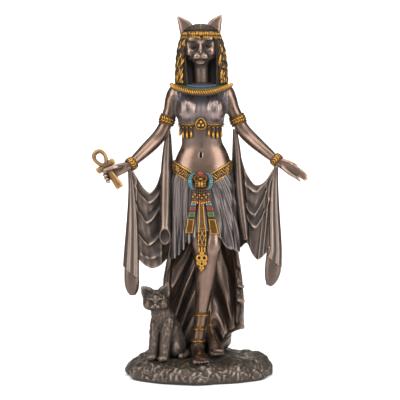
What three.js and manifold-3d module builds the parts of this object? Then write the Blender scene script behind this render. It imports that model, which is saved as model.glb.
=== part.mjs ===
// A cat-headed goddess standing on a low rock with a seated cat at her side, as a table-top figure.
// The goddess, the cat and the rock are cast in one piece; the looped cross in her right hand is cast
// on its own and glued into her grip. Millimetres, +Z up, her front towards -Y, and the origin on the
// underside of the rock, below her.

import * as THREE from "three";
import { mergeVertices } from "three/addons/utils/BufferGeometryUtils.js";
import Module from "manifold-3d";

const wasm = await Module();
wasm.setup();

// Driving dimensions.
const FIGURE_HEIGHT = 248; // from her soles to the crown of the wig
const CAT_HEIGHT = 57; // from its paws to the tip of its higher ear
const ROCK_WIDTH = 110;
const ROCK_DEPTH = 80;
const ROCK_RIM = 8; // height of the rock's edge
const ROCK_TOP = 15; // height of the ground she stands on
const CLOTH = 2.4; // thickness of hanging cloth
const CROSS_LENGTH = 33;
const CROSS_SPAN = 15.5; // across its arms
const CROSS_BAR = 4.2; // width of its shaft and arms at their crossing
const CROSS_THICKNESS = 2.8;
const GRIP_GAP = 0.3; // clearance between the looped cross and her fingers

// Her tables are in millimetres on a figure 248 tall and the cat's on a cat 57 tall. Both are read as
// shares of the real height, and their z starts at the ground.
const figureShare = FIGURE_HEIGHT / 248;
const catShare = CAT_HEIGHT / 57;
function at(x, y, z) {
  return new THREE.Vector3(x, y, z).multiplyScalar(figureShare).add(new THREE.Vector3(0, 0, ROCK_TOP));
}

const { clamp, degToRad, lerp, smoothstep } = THREE.MathUtils;
const TURN = 2 * Math.PI;
const steps = (count) => Array.from({ length: count + 1 }, (_, i) => i / count);
const angles = (sides) => Array.from({ length: sides }, (_, j) => (TURN * j) / sides);
const bothSides = (make) => [-1, 1].map(make);

// A closed geometry as a solid that can be joined and cut.
function solid(geometry) {
  const bare = geometry.clone();
  for (const name of Object.keys(bare.attributes)) if (name !== "position") bare.deleteAttribute(name);
  const merged = mergeVertices(bare, 1e-4);
  const corners = merged.attributes.position;
  const faces = new Uint32Array(merged.index.array);
  const [a, b, c] = [0, 1, 2].map(() => new THREE.Vector3());
  let volume = 0;
  for (let i = 0; i < faces.length; i += 3) {
    a.fromBufferAttribute(corners, faces[i]);
    b.fromBufferAttribute(corners, faces[i + 1]);
    c.fromBufferAttribute(corners, faces[i + 2]);
    volume += a.dot(b.cross(c));
  }
  if (volume < 0) faces.reverse(); // a skin that was laid inside out
  return new wasm.Manifold(new wasm.Mesh({ numProp: 3, vertProperties: corners.array, triVerts: faces }));
}

const join = (parts) => parts.reduce((whole, part) => whole.add(part));

// The solid inside a skin over rings of equal, even length. Open ends are closed by strips across the
// ring, from point j to its partner at the other end of the list; joined rings run round to the start.
function skin(rings, joined = false) {
  const round = rings[0].length;
  const corner = (ring, j) => (ring % rings.length) * round + (j % round);
  const faces = [];
  for (let ring = 0; ring < rings.length - (joined ? 0 : 1); ring++) {
    for (let j = 0; j < round; j++) {
      faces.push(corner(ring, j), corner(ring, j + 1), corner(ring + 1, j + 1));
      faces.push(corner(ring, j), corner(ring + 1, j + 1), corner(ring + 1, j));
    }
  }
  if (!joined) {
    const last = rings.length - 1;
    for (let j = 0; j < round / 2 - 1; j++) {
      const partner = round - 1 - j;
      faces.push(j, partner, j + 1, j + 1, partner, partner - 1);
      faces.push(corner(last, j), corner(last, j + 1), corner(last, partner));
      faces.push(corner(last, j + 1), corner(last, partner - 1), corner(last, partner));
    }
  }
  return solid(new THREE.BufferGeometry().setFromPoints(rings.flat()).setIndex(faces));
}

// The row at t, from 0 to 1, on a smooth line through the rows of a table.
function along(table, t) {
  const last = table.length - 1;
  const i = Math.min(Math.floor(t * last), last - 1);
  const f = t * last - i;
  const row = (j) => table[clamp(j, 0, last)];
  return table[0].map((_, column) => {
    const [a, b, c, d] = [row(i - 1), row(i), row(i + 1), row(i + 2)].map((r) => r[column]);
    return b + 0.5 * f * (c - a + f * (2 * a - 5 * b + 4 * c - d + f * (3 * (b - c) + d - a)));
  });
}

const SIDEWAYS = [1, 0, 0];
const FORWARDS = [0, 1, 0];
const HER = { place: at, share: figureShare }; // how her tables are placed and sized

// A limb through rows of x, y, z, half width and half depth, with its rings square to its line.
// The width is measured along side, and a row without a depth is round.
function limb(table, { sides = 8, count = table.length - 1, side = SIDEWAYS, place, share } = HER) {
  const rows = table.map(([x, y, z, wide, deep = wide]) => [...place(x, y, z), wide * share, deep * share]);
  const middle = (t) => new THREE.Vector3(...along(rows, clamp(t, 0, 1)));
  const NEAR = 0.01;
  return skin(
    steps(count).map((t) => {
      const line = middle(t + NEAR).sub(middle(t - NEAR)).normalize();
      const across = new THREE.Vector3(...side).projectOnPlane(line).normalize();
      const fore = line.clone().cross(across);
      const [, , , wide, deep] = along(rows, t);
      return angles(sides).map((a) =>
        middle(t).addScaledVector(across, wide * Math.cos(a)).addScaledVector(fore, deep * Math.sin(a)));
    }));
}

// A body of level rings through rows of z, middle x, middle y, half width and half depth. carve adds to
// the radius, by the angle round the body (0 at +X, a quarter turn at +Y) and t down the table.
function column(table, sides, carve = () => 0) {
  return skin(
    steps(table.length - 1).map((t) => {
      const [z, x, y, wide, deep] = along(table, t);
      return angles(sides).map((a) =>
        at(x + (wide + carve(a, t)) * Math.cos(a), y + (deep + carve(a, t)) * Math.sin(a), z));
    }));
}

// A band of one section, as rows of outward and upward distance, swept round an oval.
// height(a) is the middle's height at the angle a.
function hoop([x, y, wide, deep], section, height, sides) {
  return skin(
    angles(sides).map((a) => section.map(([out, up]) =>
      at(x + (wide + out) * Math.cos(a), y + (deep + out) * Math.sin(a), height(a) + up))),
    true);
}

// Cloth hung on a surface point(s, t), with s across it and t down it, thickened to both sides.
function cloth(point, across, down, thickness = CLOTH) {
  const NEAR = 0.02;
  const face = (s, t, offset) => {
    const wide = point(Math.min(s + NEAR, 1), t).sub(point(Math.max(s - NEAR, 0), t));
    const long = point(s, Math.min(t + NEAR, 1)).sub(point(s, Math.max(t - NEAR, 0)));
    return point(s, t).addScaledVector(wide.cross(long).normalize(), offset);
  };
  return skin(
    steps(down).map((t) => [
      ...steps(across).map((s) => face(s, t, thickness / 2)),
      ...steps(across).reverse().map((s) => face(s, t, -thickness / 2)),
    ]));
}

// An egg shape about a middle, with its three half sizes, turned about the upright.
function egg([x, y, z], [rx, ry, rz], { sides = 8, turn = 0, place, share } = HER) {
  const shape = new THREE.SphereGeometry(1, sides, Math.ceil(sides * 0.6));
  shape.scale(rx * share, ry * share, rz * share).rotateZ(degToRad(turn));
  return solid(shape.translate(...place(x, y, z)));
}

// The rock: a craggy slab with a flat underside, a steep edge and a mounded top that rises to the back.
function rock() {
  const SIDES = 28;
  const [MIDDLE_X, MIDDLE_Y] = [-1.2, 6];
  const BACK_RISE = 1.6; // how much higher the ground is behind her
  const CRAG = 0.6; // how far the rough surface strays up and down
  const RIM_SWELL = [0.8, 1.2]; // the edge's height at the sides, and in front and behind
  // Each row: share of the radius, of the edge's height, and of the mound above the edge.
  const PROFILE = [[0.96, 0, 0], [1, 0.35, 0], [0.97, 1, 0.05], [0.9, 1, 0.62], [0.76, 1, 1],
    [0.4, 1, 1.05]];
  const outline = (a) =>
    1 + 0.02 * Math.sin(3 * a + 1.6) + 0.016 * Math.sin(7 * a) + 0.012 * Math.cos(12 * a);
  const chips = (a, level) => (level ? Math.sin(9 * a + 4 * level) * Math.cos(5 * a - 7 * level) : 0);
  return skin(
    PROFILE.map(([reach, edge, mound], level) =>
      angles(SIDES).map((a) => {
        const rim = ROCK_RIM * lerp(...RIM_SWELL, Math.abs(Math.sin(a)));
        const top = ROCK_TOP + BACK_RISE * smoothstep(Math.sin(a) * reach, 0, 0.5);
        const radius = reach * outline(a) + 0.02 * chips(a, level) * (mound < 1);
        return new THREE.Vector3(
          MIDDLE_X + (ROCK_WIDTH / 2) * radius * Math.cos(a),
          MIDDLE_Y + (ROCK_DEPTH / 2) * radius * Math.sin(a),
          edge * rim + mound * (top - rim) + CRAG * chips(a, level));
      })));
}

// Both legs and feet. Her left leg steps forward; the right one crosses behind it on a raised heel.
function legs() {
  const front = limb([[10.5, -4, 110, 9.6, 10], [9.8, -10, 97, 7.2, 7.6], [9, -11.8, 87, 6.4, 7],
    [6.6, -10.2, 76, 6.6, 7], [4.2, -8.2, 63, 7.1, 7.3], [2.6, -6.6, 49, 6.3, 6.6], [1, -5.4, 35, 4.9, 5.2],
    [-1, -4.6, 22, 4.1, 4.4], [-2, -3.4, 11, 4.1, 4.8], [-2.2, -2, 2, 4, 5]]);
  const back = limb([[-5.5, 3, 108, 9, 9.4], [-2, 3.4, 88, 6.6, 6.8], [1, 6, 76, 6, 6.6],
    [3.4, 8.6, 60, 6.6, 7], [5.4, 10, 38, 4.8, 5], [6.4, 10.4, 26, 3.9, 4.2], [6.6, 10.6, 16, 3.8, 4.4]]);
  const frontFoot = limb([[-2.4, 3, 4, 3.2, 3.8], [-2.2, -3, 5.4, 4, 5.2], [-1.2, -11, 4.4, 4.4, 4.6],
    [0.2, -18, 3, 5.6, 3.4], [0.9, -25, 2, 5.9, 2.4]]);
  const backFoot = limb([[5.4, 14, 12, 3, 4], [7.4, 8.6, 12.4, 3.8, 5.6], [9.8, 2.6, 9.6, 4.2, 4.4],
    [12, -3, 6.2, 5.2, 3.2], [13, -6.4, 5, 5.4, 2.2]]);
  // Each toe: how far across and behind the big toe, and its half thickness.
  const TOES = [[0, 0, 1.9], [3.1, 0.4, 1.2], [5.4, 1.4, 1.1], [7.6, 2.6, 1.1], [9.6, 4, 1]];
  const toes = ([x, y, z], spread) => TOES.map(([across, behind, thick]) => {
    const [left, tip] = [x + spread * across, y + behind - 2.6];
    return limb([[left, tip + 6, z + thick - 1.4, thick], [left, tip, z + thick - 2.2, thick * 0.8]],
      { ...HER, sides: 6 });
  });
  return join([front, back, frontFoot, backFoot, ...toes([-3.8, -28, 2.2], 1),
    ...toes([8.8, -9.4, 4.4], 0.86)]);
}

// The trunk from the hips to the shoulders, with the breasts, and the neck above it.
function trunk() {
  const body = column([[130, 2, 0.6, 21, 12], [142, 2, 0.4, 21.6, 11.6], [150, 2, 0.2, 19.4, 10.4],
    [159, 1.5, 0.6, 15.4, 8.8], [168, 1, 1, 14.9, 8.6], [177, 0.8, 1, 16.8, 9.3], [187, 0.6, 1.2, 18.8, 9.2],
    [194, 0.9, 2, 19.6, 7.8], [199, 1, 2.2, 16.6, 7], [202, 1.2, 2, 8.4, 6.4]], 14);
  const breasts = [-8.6, 10.2].map((x) => egg([x, -6.6, 185.4], [7.4, 7.4, 8.2]));
  const neck = limb([[1.2, 1.6, 198, 6.4], [1, 0.6, 208, 5.4], [0.7, -0.4, 220, 5.4]]);
  return join([body, ...breasts, neck]);
}

// Both arms, held out and down, with a ring round each upper arm and each wrist.
function arms() {
  const RIGHT = [[-17, 2, 199, 6], [-20.8, 2, 193, 5.2], [-22.2, 2.4, 186, 4.8], [-24.6, 3, 177.5, 5],
    [-28, 3.2, 169.6, 5.2], [-32.4, 2.6, 163.4, 5.4], [-37.6, -0.6, 158, 5.2], [-43.6, -5, 152.2, 4.6],
    [-49.2, -8.8, 147, 3.8], [-52.6, -10.6, 144.2, 3.2]];
  const LEFT = [[18.4, 2, 199, 6], [22, 2, 193, 5.4], [24.4, 2.6, 186, 5], [28.4, 3.2, 177.5, 5],
    [32, 3.4, 170.8, 5.3], [36, 2.2, 166, 5.3], [41.6, -1.4, 160.6, 5], [48, -5.4, 155, 4.4],
    [54.2, -8.8, 149.8, 3.6], [58, -10.4, 147, 3]];
  const [ARM_RING, WRIST_RING] = [6.3, 4.9];
  const ring = (from, to, radius) => [[...from, radius], [...to, radius]];
  const rings = [ring([-23.6, 2.8, 180.8], [-25.4, 3.1, 174.4], ARM_RING),
    ring([27, 3, 180.8], [29.6, 3.2, 174.6], ARM_RING),
    ring([-48.6, -8.8, 146.6], [-52.4, -10.8, 143.6], WRIST_RING),
    ring([54.4, -9.1, 149.8], [58.2, -10.6, 146.6], WRIST_RING)];
  return join([RIGHT, LEFT, ...rings].map((table) => limb(table, { ...HER, side: FORWARDS })));
}

// The open left hand: the palm, and fingers spread a little and pointing out and down.
function openHand() {
  const palm = limb([[57.6, -10.6, 147.2, 2.2, 3], [61.8, -12, 145, 2, 4.2], [66.4, -13.2, 142.6, 1.7, 4.6],
    [69.2, -13.8, 141.2, 1.3, 4.3]], { ...HER, side: FORWARDS });
  const FINGERS = [[[67.4, -13.6, 144.4], [73.2, -14.4, 140.8], [78.4, -15.4, 137]],
    [[68.2, -13.8, 142.4], [73.8, -15, 138.4], [78.4, -16, 134.6]],
    [[68, -13.8, 140.6], [73, -15.2, 136.8], [76.8, -16.4, 133.8]],
    [[66.8, -13.6, 138.8], [70.6, -15, 135.4], [73.2, -16.2, 133]]];
  const THUMB = [[60.8, -13, 143], [65, -15.6, 139], [69.4, -17.2, 136]];
  const TAPER = [1.2, 1.05, 0.8]; // from knuckle to tip
  const finger = (knuckles, thick) =>
    limb(knuckles.map((knuckle, i) => [...knuckle, thick * TAPER[i]]), { ...HER, sides: 4, side: FORWARDS });
  return join([palm, ...FINGERS.map((knuckles) => finger(knuckles, 1.25)), finger(THUMB, 1.45)]);
}

// The looped cross stands in a plane across her hand. grow widens it all round, for the cut in the hand.
const CROSS_MIDDLE = [-69, -16.6, 144];
const CROSS_LEAN = 34; // degrees from upright, its foot towards her
function loopedCross(grow = 0) {
  const thickness = CROSS_THICKNESS + 2 * grow;
  const plate = (outline, hole) => {
    const shape = new THREE.Shape(outline);
    if (hole) shape.holes.push(new THREE.Path(hole));
    const geometry = new THREE.ExtrudeGeometry(shape, { depth: thickness, bevelEnabled: false });
    return solid(geometry.translate(0, 0, -thickness / 2));
  };
  const LOOP_SHARE = 0.42; // the loop's share of the length, and the shaft has the rest
  const waist = CROSS_BAR * 0.45 + grow; // half width of the shaft and arms where they cross
  const flare = CROSS_BAR * 0.72 + grow; // and at their ends
  const foot = -CROSS_LENGTH * (1 - LOOP_SHARE) - grow;
  const top = CROSS_LENGTH * LOOP_SHARE + grow;
  const arm = CROSS_SPAN / 2 + grow;
  const rim = CROSS_BAR * 0.7 + 2 * grow; // width of the loop's band
  const loopWide = CROSS_LENGTH * 0.2 + grow; // half the loop's width
  const drop = (wide, low, high) => angles(16).map((a) => {
    const rise = (1 - Math.cos(a)) / 2; // 0 at the loop's neck, 1 at its top
    return new THREE.Vector2(wide * Math.sin(a) * Math.sqrt(lerp(0.25, 1, rise)), lerp(low, high, rise));
  });
  const corners = (list) => list.map(([x, y]) => new THREE.Vector2(x, y));
  const shaft = plate(corners([[-waist, 0], [-flare, foot], [flare, foot], [waist, 0]]));
  const bar = plate(corners([[-arm, -flare], [0, -waist], [arm, -flare], [arm, flare], [0, waist],
    [-arm, flare]]));
  const loop = plate(drop(loopWide, -waist, top), drop(loopWide - rim, waist * 1.4, top - rim));
  const placed = new THREE.Matrix4().makeTranslation(at(...CROSS_MIDDLE))
    .multiply(new THREE.Matrix4().makeRotationY(degToRad(-CROSS_LEAN)))
    .multiply(new THREE.Matrix4().makeRotationX(Math.PI / 2));
  return join([shaft, bar, loop]).transform(placed.elements);
}

// The closed right hand: the thumb lies before the cross and the fingers lie behind it.
function grippingHand() {
  const clear = (CROSS_THICKNESS / 2 + GRIP_GAP) / figureShare;
  const [THUMB, FINGER] = [1.6, 1.4]; // half thicknesses
  const before = CROSS_MIDDLE[1] - clear - THUMB;
  const behind = CROSS_MIDDLE[1] + clear + FINGER;
  const palm = limb([[-51.6, -10.4, 144.2, 2.3, 2.9], [-56, -12, 142.6, 2.2, 4], [-60.6, -13.2, 141, 2, 4.6],
    [-63.4, behind, 140, 1.6, 4.4]], { ...HER, side: FORWARDS });
  const thumb = limb([[-57, -13.6, 143.4, THUMB * 1.1], [-61.4, before + 1.6, 143.4, THUMB],
    [-65.6, before, 142.4, THUMB * 0.95], [-69.6, before, 141.2, THUMB * 0.7]], { ...HER, sides: 6 });
  const FINGER_LEVELS = [142.8, 139.8, 137, 134.6];
  const fingers = FINGER_LEVELS.map((z, i) =>
    limb([[-61.6, behind, z + 0.6, FINGER * 1.1], [-66, behind, z - 0.4, FINGER],
      [-70.4 + 1.2 * i, behind, z - 2.4, FINGER * 0.75]], { ...HER, sides: 4 }));
  return join([palm, thumb, ...fingers]);
}

// The cat head: skull, cheeks, muzzle and nose, and two scooped ears that stand out of the wig.
function head() {
  const ear = (rows) => {
    const shell = limb(rows.map(([x, z, wide]) => [x, 0.4, z, wide, wide * 0.5]), { ...HER, sides: 6 });
    const scoop = limb(rows.map(([x, z, wide]) => [x, -2, z - 0.8, wide * 0.62, wide * 0.34]),
      { ...HER, sides: 4 });
    return shell.subtract(scoop);
  };
  const middle = 0.4;
  return join([
    egg([middle, -0.4, 232], [10.8, 12.2, 13.6], { ...HER, sides: 12 }),
    egg([middle, -9.6, 223], [6.8, 7.4, 5.8]),
    ...bothSides((side) => egg([middle + 7 * side, -7.4, 226.4], [4, 4, 5], { ...HER, sides: 6 })),
    limb([[middle, -11.6, 236, 2.4, 2], [middle, -14, 230.6, 1.9, 2], [middle, -16.6, 226, 1.6, 1.6]],
      { ...HER, sides: 6 }),
    ear([[-9.2, 241, 5.6], [-11.6, 247.4, 4.7], [-14.4, 251.2, 2.8], [-17, 254.2, 0.5]]),
    ear([[9.4, 241, 5.6], [11.4, 248, 5.1], [13.9, 252.2, 3], [16.6, 255.6, 0.5]]),
  ]);
}

// The wig: a full bell of fine braids, parted in front round the face and neck, with a brow band.
function wig() {
  const BRAIDS = 16;
  const BRAID_RELIEF = 0.6;
  const braids = (a, t) => BRAID_RELIEF * smoothstep(t, 0.3, 0.6) * Math.cos(BRAIDS * a);
  const bell = column([[248.4, 0.6, 1, 5, 5.5], [246, 0.6, 1, 10.6, 11.4], [241, 0.6, 1, 14, 14.6],
    [232, 0.8, 1.2, 17.2, 16], [222, 1, 1.6, 18.7, 15.6], [209, 1.1, 2.2, 19.6, 15],
    [199, 1.2, 3, 19.4, 14.2]], BRAIDS * 2, braids);
  const opening = column([[238.2, 0.6, -14, 9.6, 14], [232, 0.6, -12, 11.2, 13.4], [222, 0.8, -10, 11, 12.4],
    [196, 2, -9, 9.6, 11.2]], 12);
  const browBand = column([[242.8, 0.6, 1, 14.6, 15], [238.4, 0.6, 1, 15.8, 16.2]], 20);
  return bell.subtract(opening).add(browBand);
}

// The broad collar: a dished ring on the shoulders that dips in front and behind, with a raised rim.
function collar() {
  const OUTER = [1, 0.6, 23.9, 17.2]; // middle x and y, half width and half depth
  const BREADTH = [16.9, 10.6]; // from the outer to the inner edge, sideways and forwards
  const [FRONT_DIP, BACK_DIP] = [7.6, 4.4];
  const dip = (a) => (Math.sin(a) < 0 ? FRONT_DIP : BACK_DIP) * Math.abs(Math.sin(a)) ** 1.6;
  // Each row: share of the way outwards, and height.
  const PROFILE = [[0, 204.8], [0.5, 204.8], [0.86, 205.4], [1, 203.8], [0.9, 201.6], [0.1, 201]];
  return skin(
    angles(24).map((a) => PROFILE.map(([out, z]) => {
      const [wide, deep] = [OUTER[2] - BREADTH[0] * (1 - out), OUTER[3] - BREADTH[1] * (1 - out)];
      return at(OUTER[0] + wide * Math.cos(a), OUTER[1] + deep * Math.sin(a), z - out * dip(a));
    })), true);
}

// The bodice's gold edge under the breasts, with a medallion between them and a row of drops.
function bodice() {
  const RIB = [0.9, 0.9, 16.6, 9.6]; // middle x and y, half width and half depth
  const LEVEL = 174.4;
  const archUnderBreasts = (a) => 3.6 * Math.max(0, -Math.sin(a)) * (1 - Math.abs(Math.cos(a)) ** 0.7);
  const edge = hoop(RIB, [[-2.6, -1.2], [1, -1.1], [1, 1.1], [-2.6, 1.2]],
    (a) => LEVEL + archUnderBreasts(a), 22);
  const DROPS = [-70, -50, -31, 31, 50, 70]; // degrees from the front
  const drops = DROPS.map((degrees) => {
    const a = degToRad(degrees);
    const [x, y] = [RIB[0] + RIB[2] * Math.sin(a), RIB[1] - RIB[3] * Math.cos(a)];
    return limb([[x, y, LEVEL + 0.6, 1.2], [x * 0.92, y * 0.98, LEVEL - 10, 1.8]], { ...HER, sides: 4 });
  });
  return join([edge, ...drops, egg([0.6, -9.4, LEVEL + 0.2], [3.2, 1.8, 3])]);
}

// The hip belt dips to the front and carries a winged scarab with a stone above it.
const BELT_LEVEL = 142.4;
const BELT_DIP = 11;
const beltDip = (a) => Math.max(0, -Math.sin(a)) ** 1.6;
function belt() {
  const strap = hoop([1.8, 0.6, 20.9, 11.8], [[-3, -3.3], [2.6, -3], [0.8, 3], [-3, 3.3]],
    (a) => BELT_LEVEL - BELT_DIP * beltDip(a), 24);
  const wing = (side) => limb([[-1.6, 136.6, 0.9], [4.6, 137.4, 1.7], [8.2, 131.6, 1.8], [4.2, 125.6, 0.9]]
    .map(([out, z, deep]) => [0.4 + side * out, -14.8, z, 1.3, deep]), { ...HER, sides: 4, side: FORWARDS });
  return join([strap, egg([0.4, -14.6, 130.6], [3.2, 2.4, 5.4]), ...bothSides(wing),
    egg([0.4, -13.8, 137.6], [2.2, 1.8, 2.2], { ...HER, sides: 6 })]);
}

// The hanging apron: a long centre strip that ends in a lotus, and a shorter jewelled strap each side.
function apron() {
  // Each row: middle x, y, z and half width.
  const strip = (table) => cloth((s, t) => {
    const [x, y, z, half] = along(table, t);
    return at(x + lerp(-half, half, s), y, z);
  }, 1, table.length - 1);
  return join([
    strip([[0.4, -15, 126, 4], [0.8, -16.6, 118, 2.9], [1.2, -17.6, 106, 3], [1.5, -18.4, 97, 3.4],
      [1.4, -19, 92, 3.6], [1.4, -19, 86.4, 2.6], [1.4, -18.4, 80, 3], [1.3, -17.8, 74, 4.2],
      [0.9, -17, 70, 2.6], [0.8, -16.6, 67.6, 1]]),
    strip([[-3.4, -14.8, 124, 2.4], [-4.8, -16, 118, 2.6], [-6, -17, 108, 2.8], [-7.6, -17.8, 96, 3.2]]),
    strip([[4.8, -14.8, 124, 2.4], [6.6, -16, 118, 2.6], [8.6, -17, 108, 2.8], [10.8, -17.8, 95, 3.2]]),
  ]);
}

// The wrapped skirt: pleated all round, open below, its hem high in front and low at the sides.
function skirt() {
  const PLEATS = 12;
  const RECESS = 9; // how far the open underside runs up inside the hem
  const [HEM, HEM_RISE, HEM_POINTS] = [77, 18.5, 0.9];
  const table = [[2, 0.8, 22, 12.6], [2.1, 0.8, 23.6, 13.8], [2.4, 0.4, 24.2, 15], [2.8, 0, 24.8, 16.2],
    [3.2, -0.4, 25.4, 17], [3.4, -0.8, 25.8, 17.4]]; // middle x and y, half width and half depth
  const level = (a, t) => {
    const front = Math.max(0, -Math.sin(a - 0.08));
    const hem = HEM + HEM_RISE * front ** 2 - 2 * Math.cos(a) + HEM_POINTS * Math.cos(PLEATS * a);
    return lerp(BELT_LEVEL - 1 - BELT_DIP * beltDip(a), hem, t);
  };
  const ring = (t, inset, rise) => angles(PLEATS * 3).map((a) => {
    const [x, y, wide, deep] = along(table, t);
    const out = 0.75 * smoothstep(t, 0, 0.4) * Math.cos(PLEATS * a + 1.5 * t) - inset;
    return at(x + (wide + out) * Math.cos(a), y + (deep + out) * Math.sin(a), level(a, t) + rise);
  });
  const lip = CLOTH / figureShare;
  return skin([...steps(4).map((t) => ring(t, 0, 0)), ring(1, lip * 0.7, 0), ring(1, lip * 1.5, RECESS)]);
}

// The train: the back of the skirt falls to the rock as a mass of deep folds behind the legs. On her
// left it swings out clear of the ground.
function train() {
  const FOLDS = 7;
  const FOLD_DEPTH = [0.5, 2.2]; // at the top and at the hem
  // The outer face at three levels, from her right round the back to her left.
  const TOP = [[-17, -2, 116], [-17, 6, 116], [-10, 11.6, 116], [0, 13.2, 116], [11, 12.6, 116],
    [17.4, 9.6, 116], [21, 6, 116], [23, 1, 116], [22, -3, 116]];
  const KNEE = [[-24.4, -3.6, 58], [-26.3, 8, 58], [-18, 18, 58], [-3, 21.6, 58], [10, 21.6, 58],
    [20, 18, 58], [27, 14, 58], [31, 8, 58], [30, 0, 58]];
  const HEM = [[-25, -3, -3], [-27.4, 8, -3], [-20, 21, -3], [-5, 26, -3], [9, 25.6, -3],
    [18.4, 21, -1], [25, 16, 15], [34.6, 9, 21], [33, -1, 21]];
  const INNER_SPREAD = [0.78, 1.1]; // at the top and at the hem
  const INNER = [[-21.5, -2.7], [-19, 2], [-11, 5], [-2, 6.4], [6, 7], [14, 7.4], [20, 6], [26, 3], [28, 0]];
  const fold = (s, t) => lerp(...FOLD_DEPTH, t) * Math.cos(TURN * FOLDS * s + 1.2 * t);
  const outer = (s, t) => {
    const [top, knee, hem] = [TOP, KNEE, HEM].map((table) => new THREE.Vector3(...along(table, s)));
    const point = t < 0.5 ? top.lerp(knee, t * 2) : knee.lerp(hem, t * 2 - 1);
    const away = new THREE.Vector3(point.x - 2, point.y, 0).normalize();
    return point.addScaledVector(away, fold(s, t));
  };
  const inner = (s, t) => {
    const [x, y] = along(INNER, s);
    return new THREE.Vector3(x * lerp(...INNER_SPREAD, t), y + 0.5 * fold(s, t) + 1.4 * t, outer(s, t).z);
  };
  const ACROSS = 21;
  return skin([0, 0.3, 0.5, 0.75, 1].map((t) => [
    ...steps(ACROSS).map((s) => at(...outer(s, t))),
    ...steps(ACROSS).reverse().map((s) => at(...inner(s, t))),
  ]));
}

// The shawl on each arm: a swagged sheet that runs from the back of the hip to the wrist, a roll that
// hangs from the upper arm with an open end, and a tail that falls from the wrist.
const SHAWL = {
  right: {
    top: [[-21.6, 6, 168], [-26.4, 5, 152], [-29.4, 4, 139], [-32.6, 2, 129], [-37.4, -1, 123.8],
      [-42, -4, 127.6], [-46.4, -7.4, 135], [-50.4, -10, 142]],
    hem: [[-16, 10, 81], [-19, 9, 77], [-24.4, 6, 73.6], [-30, 3, 68.4], [-35.6, 0, 66.8], [-40, -3, 68.8],
      [-44, -6, 72.4], [-48, -8, 78]],
    roll: [[-23.6, 4.4, 171, 1.6], [-25, 3.4, 152, 3.2], [-25.3, 0.6, 136, 4.2], [-25.7, -2, 116, 4.2],
      [-26.2, -4.8, 94, 4.2]],
    tail: [[-51.8, -10.4, 143.4, 1.7, 1.8], [-50.8, -10, 130, 2.3, 2.2], [-50.3, -9.6, 117, 3.3, 2.7],
      [-50.2, -9.2, 101, 4.7, 3.1], [-50.6, -8.8, 85, 5.8, 3.4], [-51.4, -8.5, 70, 6.5, 3.4],
      [-51, -8.4, 60, 6, 2.7], [-50.4, -8.4, 53, 4.8, 2], [-50.2, -8.3, 47.2, 2, 1.2]],
  },
  left: {
    top: [[24.6, 6, 170], [28.6, 5, 160], [31.4, 4, 148], [34.6, 1.4, 138.6], [39.6, -1.8, 130.8],
      [44, -4, 129.6], [48.6, -6.6, 133], [54, -9.8, 141.6]],
    hem: [[22, 10, 84], [27, 8, 80.6], [31, 6, 82], [35.2, 3, 85.4], [38.6, 0.4, 78.4], [43, -2.4, 73.6],
      [48, -5, 77.6], [52.6, -7.6, 83]],
    roll: [[26, 4.4, 171, 1.6], [28.2, 3.4, 152, 2.5], [29.6, 0.4, 126, 3.2], [32.2, -2.4, 103, 3],
      [34.2, -4, 89, 2.2]],
    tail: [[56.2, -10.4, 144.4, 1.7, 1.8], [55.2, -10, 131, 2.8, 2.4], [55, -9.6, 111.6, 4.1, 3],
      [55.7, -9.2, 92.6, 4.8, 3.3], [56, -8.8, 81, 5.2, 3.4], [55, -8.6, 73, 6.4, 3],
      [54.4, -8.6, 66, 6.2, 2.4], [52.2, -8.6, 60, 4.8, 1.9], [50.6, -8.5, 54.6, 2.2, 1.1]],
  },
};
function shawl({ top, hem, roll, tail }) {
  const SWAGS = 3.5;
  const SWAG_DEPTH = 1.9;
  const sheet = cloth((s, t) => {
    const swag = SWAG_DEPTH * Math.sin(Math.PI * s) * Math.cos(TURN * SWAGS * t);
    const [from, to] = [top, hem].map((table) => new THREE.Vector3(...along(table, s)));
    const { x, y, z } = from.lerp(to, t);
    return at(x, y + swag, z);
  }, 6, 8);
  const [[x, y, z, inner], [endX, endY, endZ, end]] = roll.slice(-2);
  const bore = [[x, y, z - 4, inner * 0.3], [endX, endY, endZ - 1.6, end * 0.68]];
  return join([sheet, limb(roll, { ...HER, sides: 6 }), limb(tail, { ...HER, sides: 6, count: 6 })])
    .subtract(limb(bore, { ...HER, sides: 6 }));
}

// The anklets: three rings on the front leg, one on the back leg, and a strap down the front foot.
function anklets() {
  const RINGS = [[1, -5.2, 33, 4.9], [-1, -4.6, 22.4, 4.6], [-1.8, -3.8, 13, 4.8], [6.4, 10.4, 23, 4.3]];
  const HALF_HEIGHT = 0.9;
  const STRAP = [[-0.2, -9.4, 33, 0.7], [-1.2, -9.2, 22, 0.7], [-1.6, -8.8, 13, 0.7], [-1, -13, 8.6, 0.8],
    [0.2, -18.4, 6.4, 0.7]];
  const ring = ([x, y, z, radius]) => limb([HALF_HEIGHT, -HALF_HEIGHT].map((up) => [x, y, z + up, radius]));
  return join([...RINGS.map(ring), limb(STRAP, { ...HER, sides: 4 })]);
}

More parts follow.
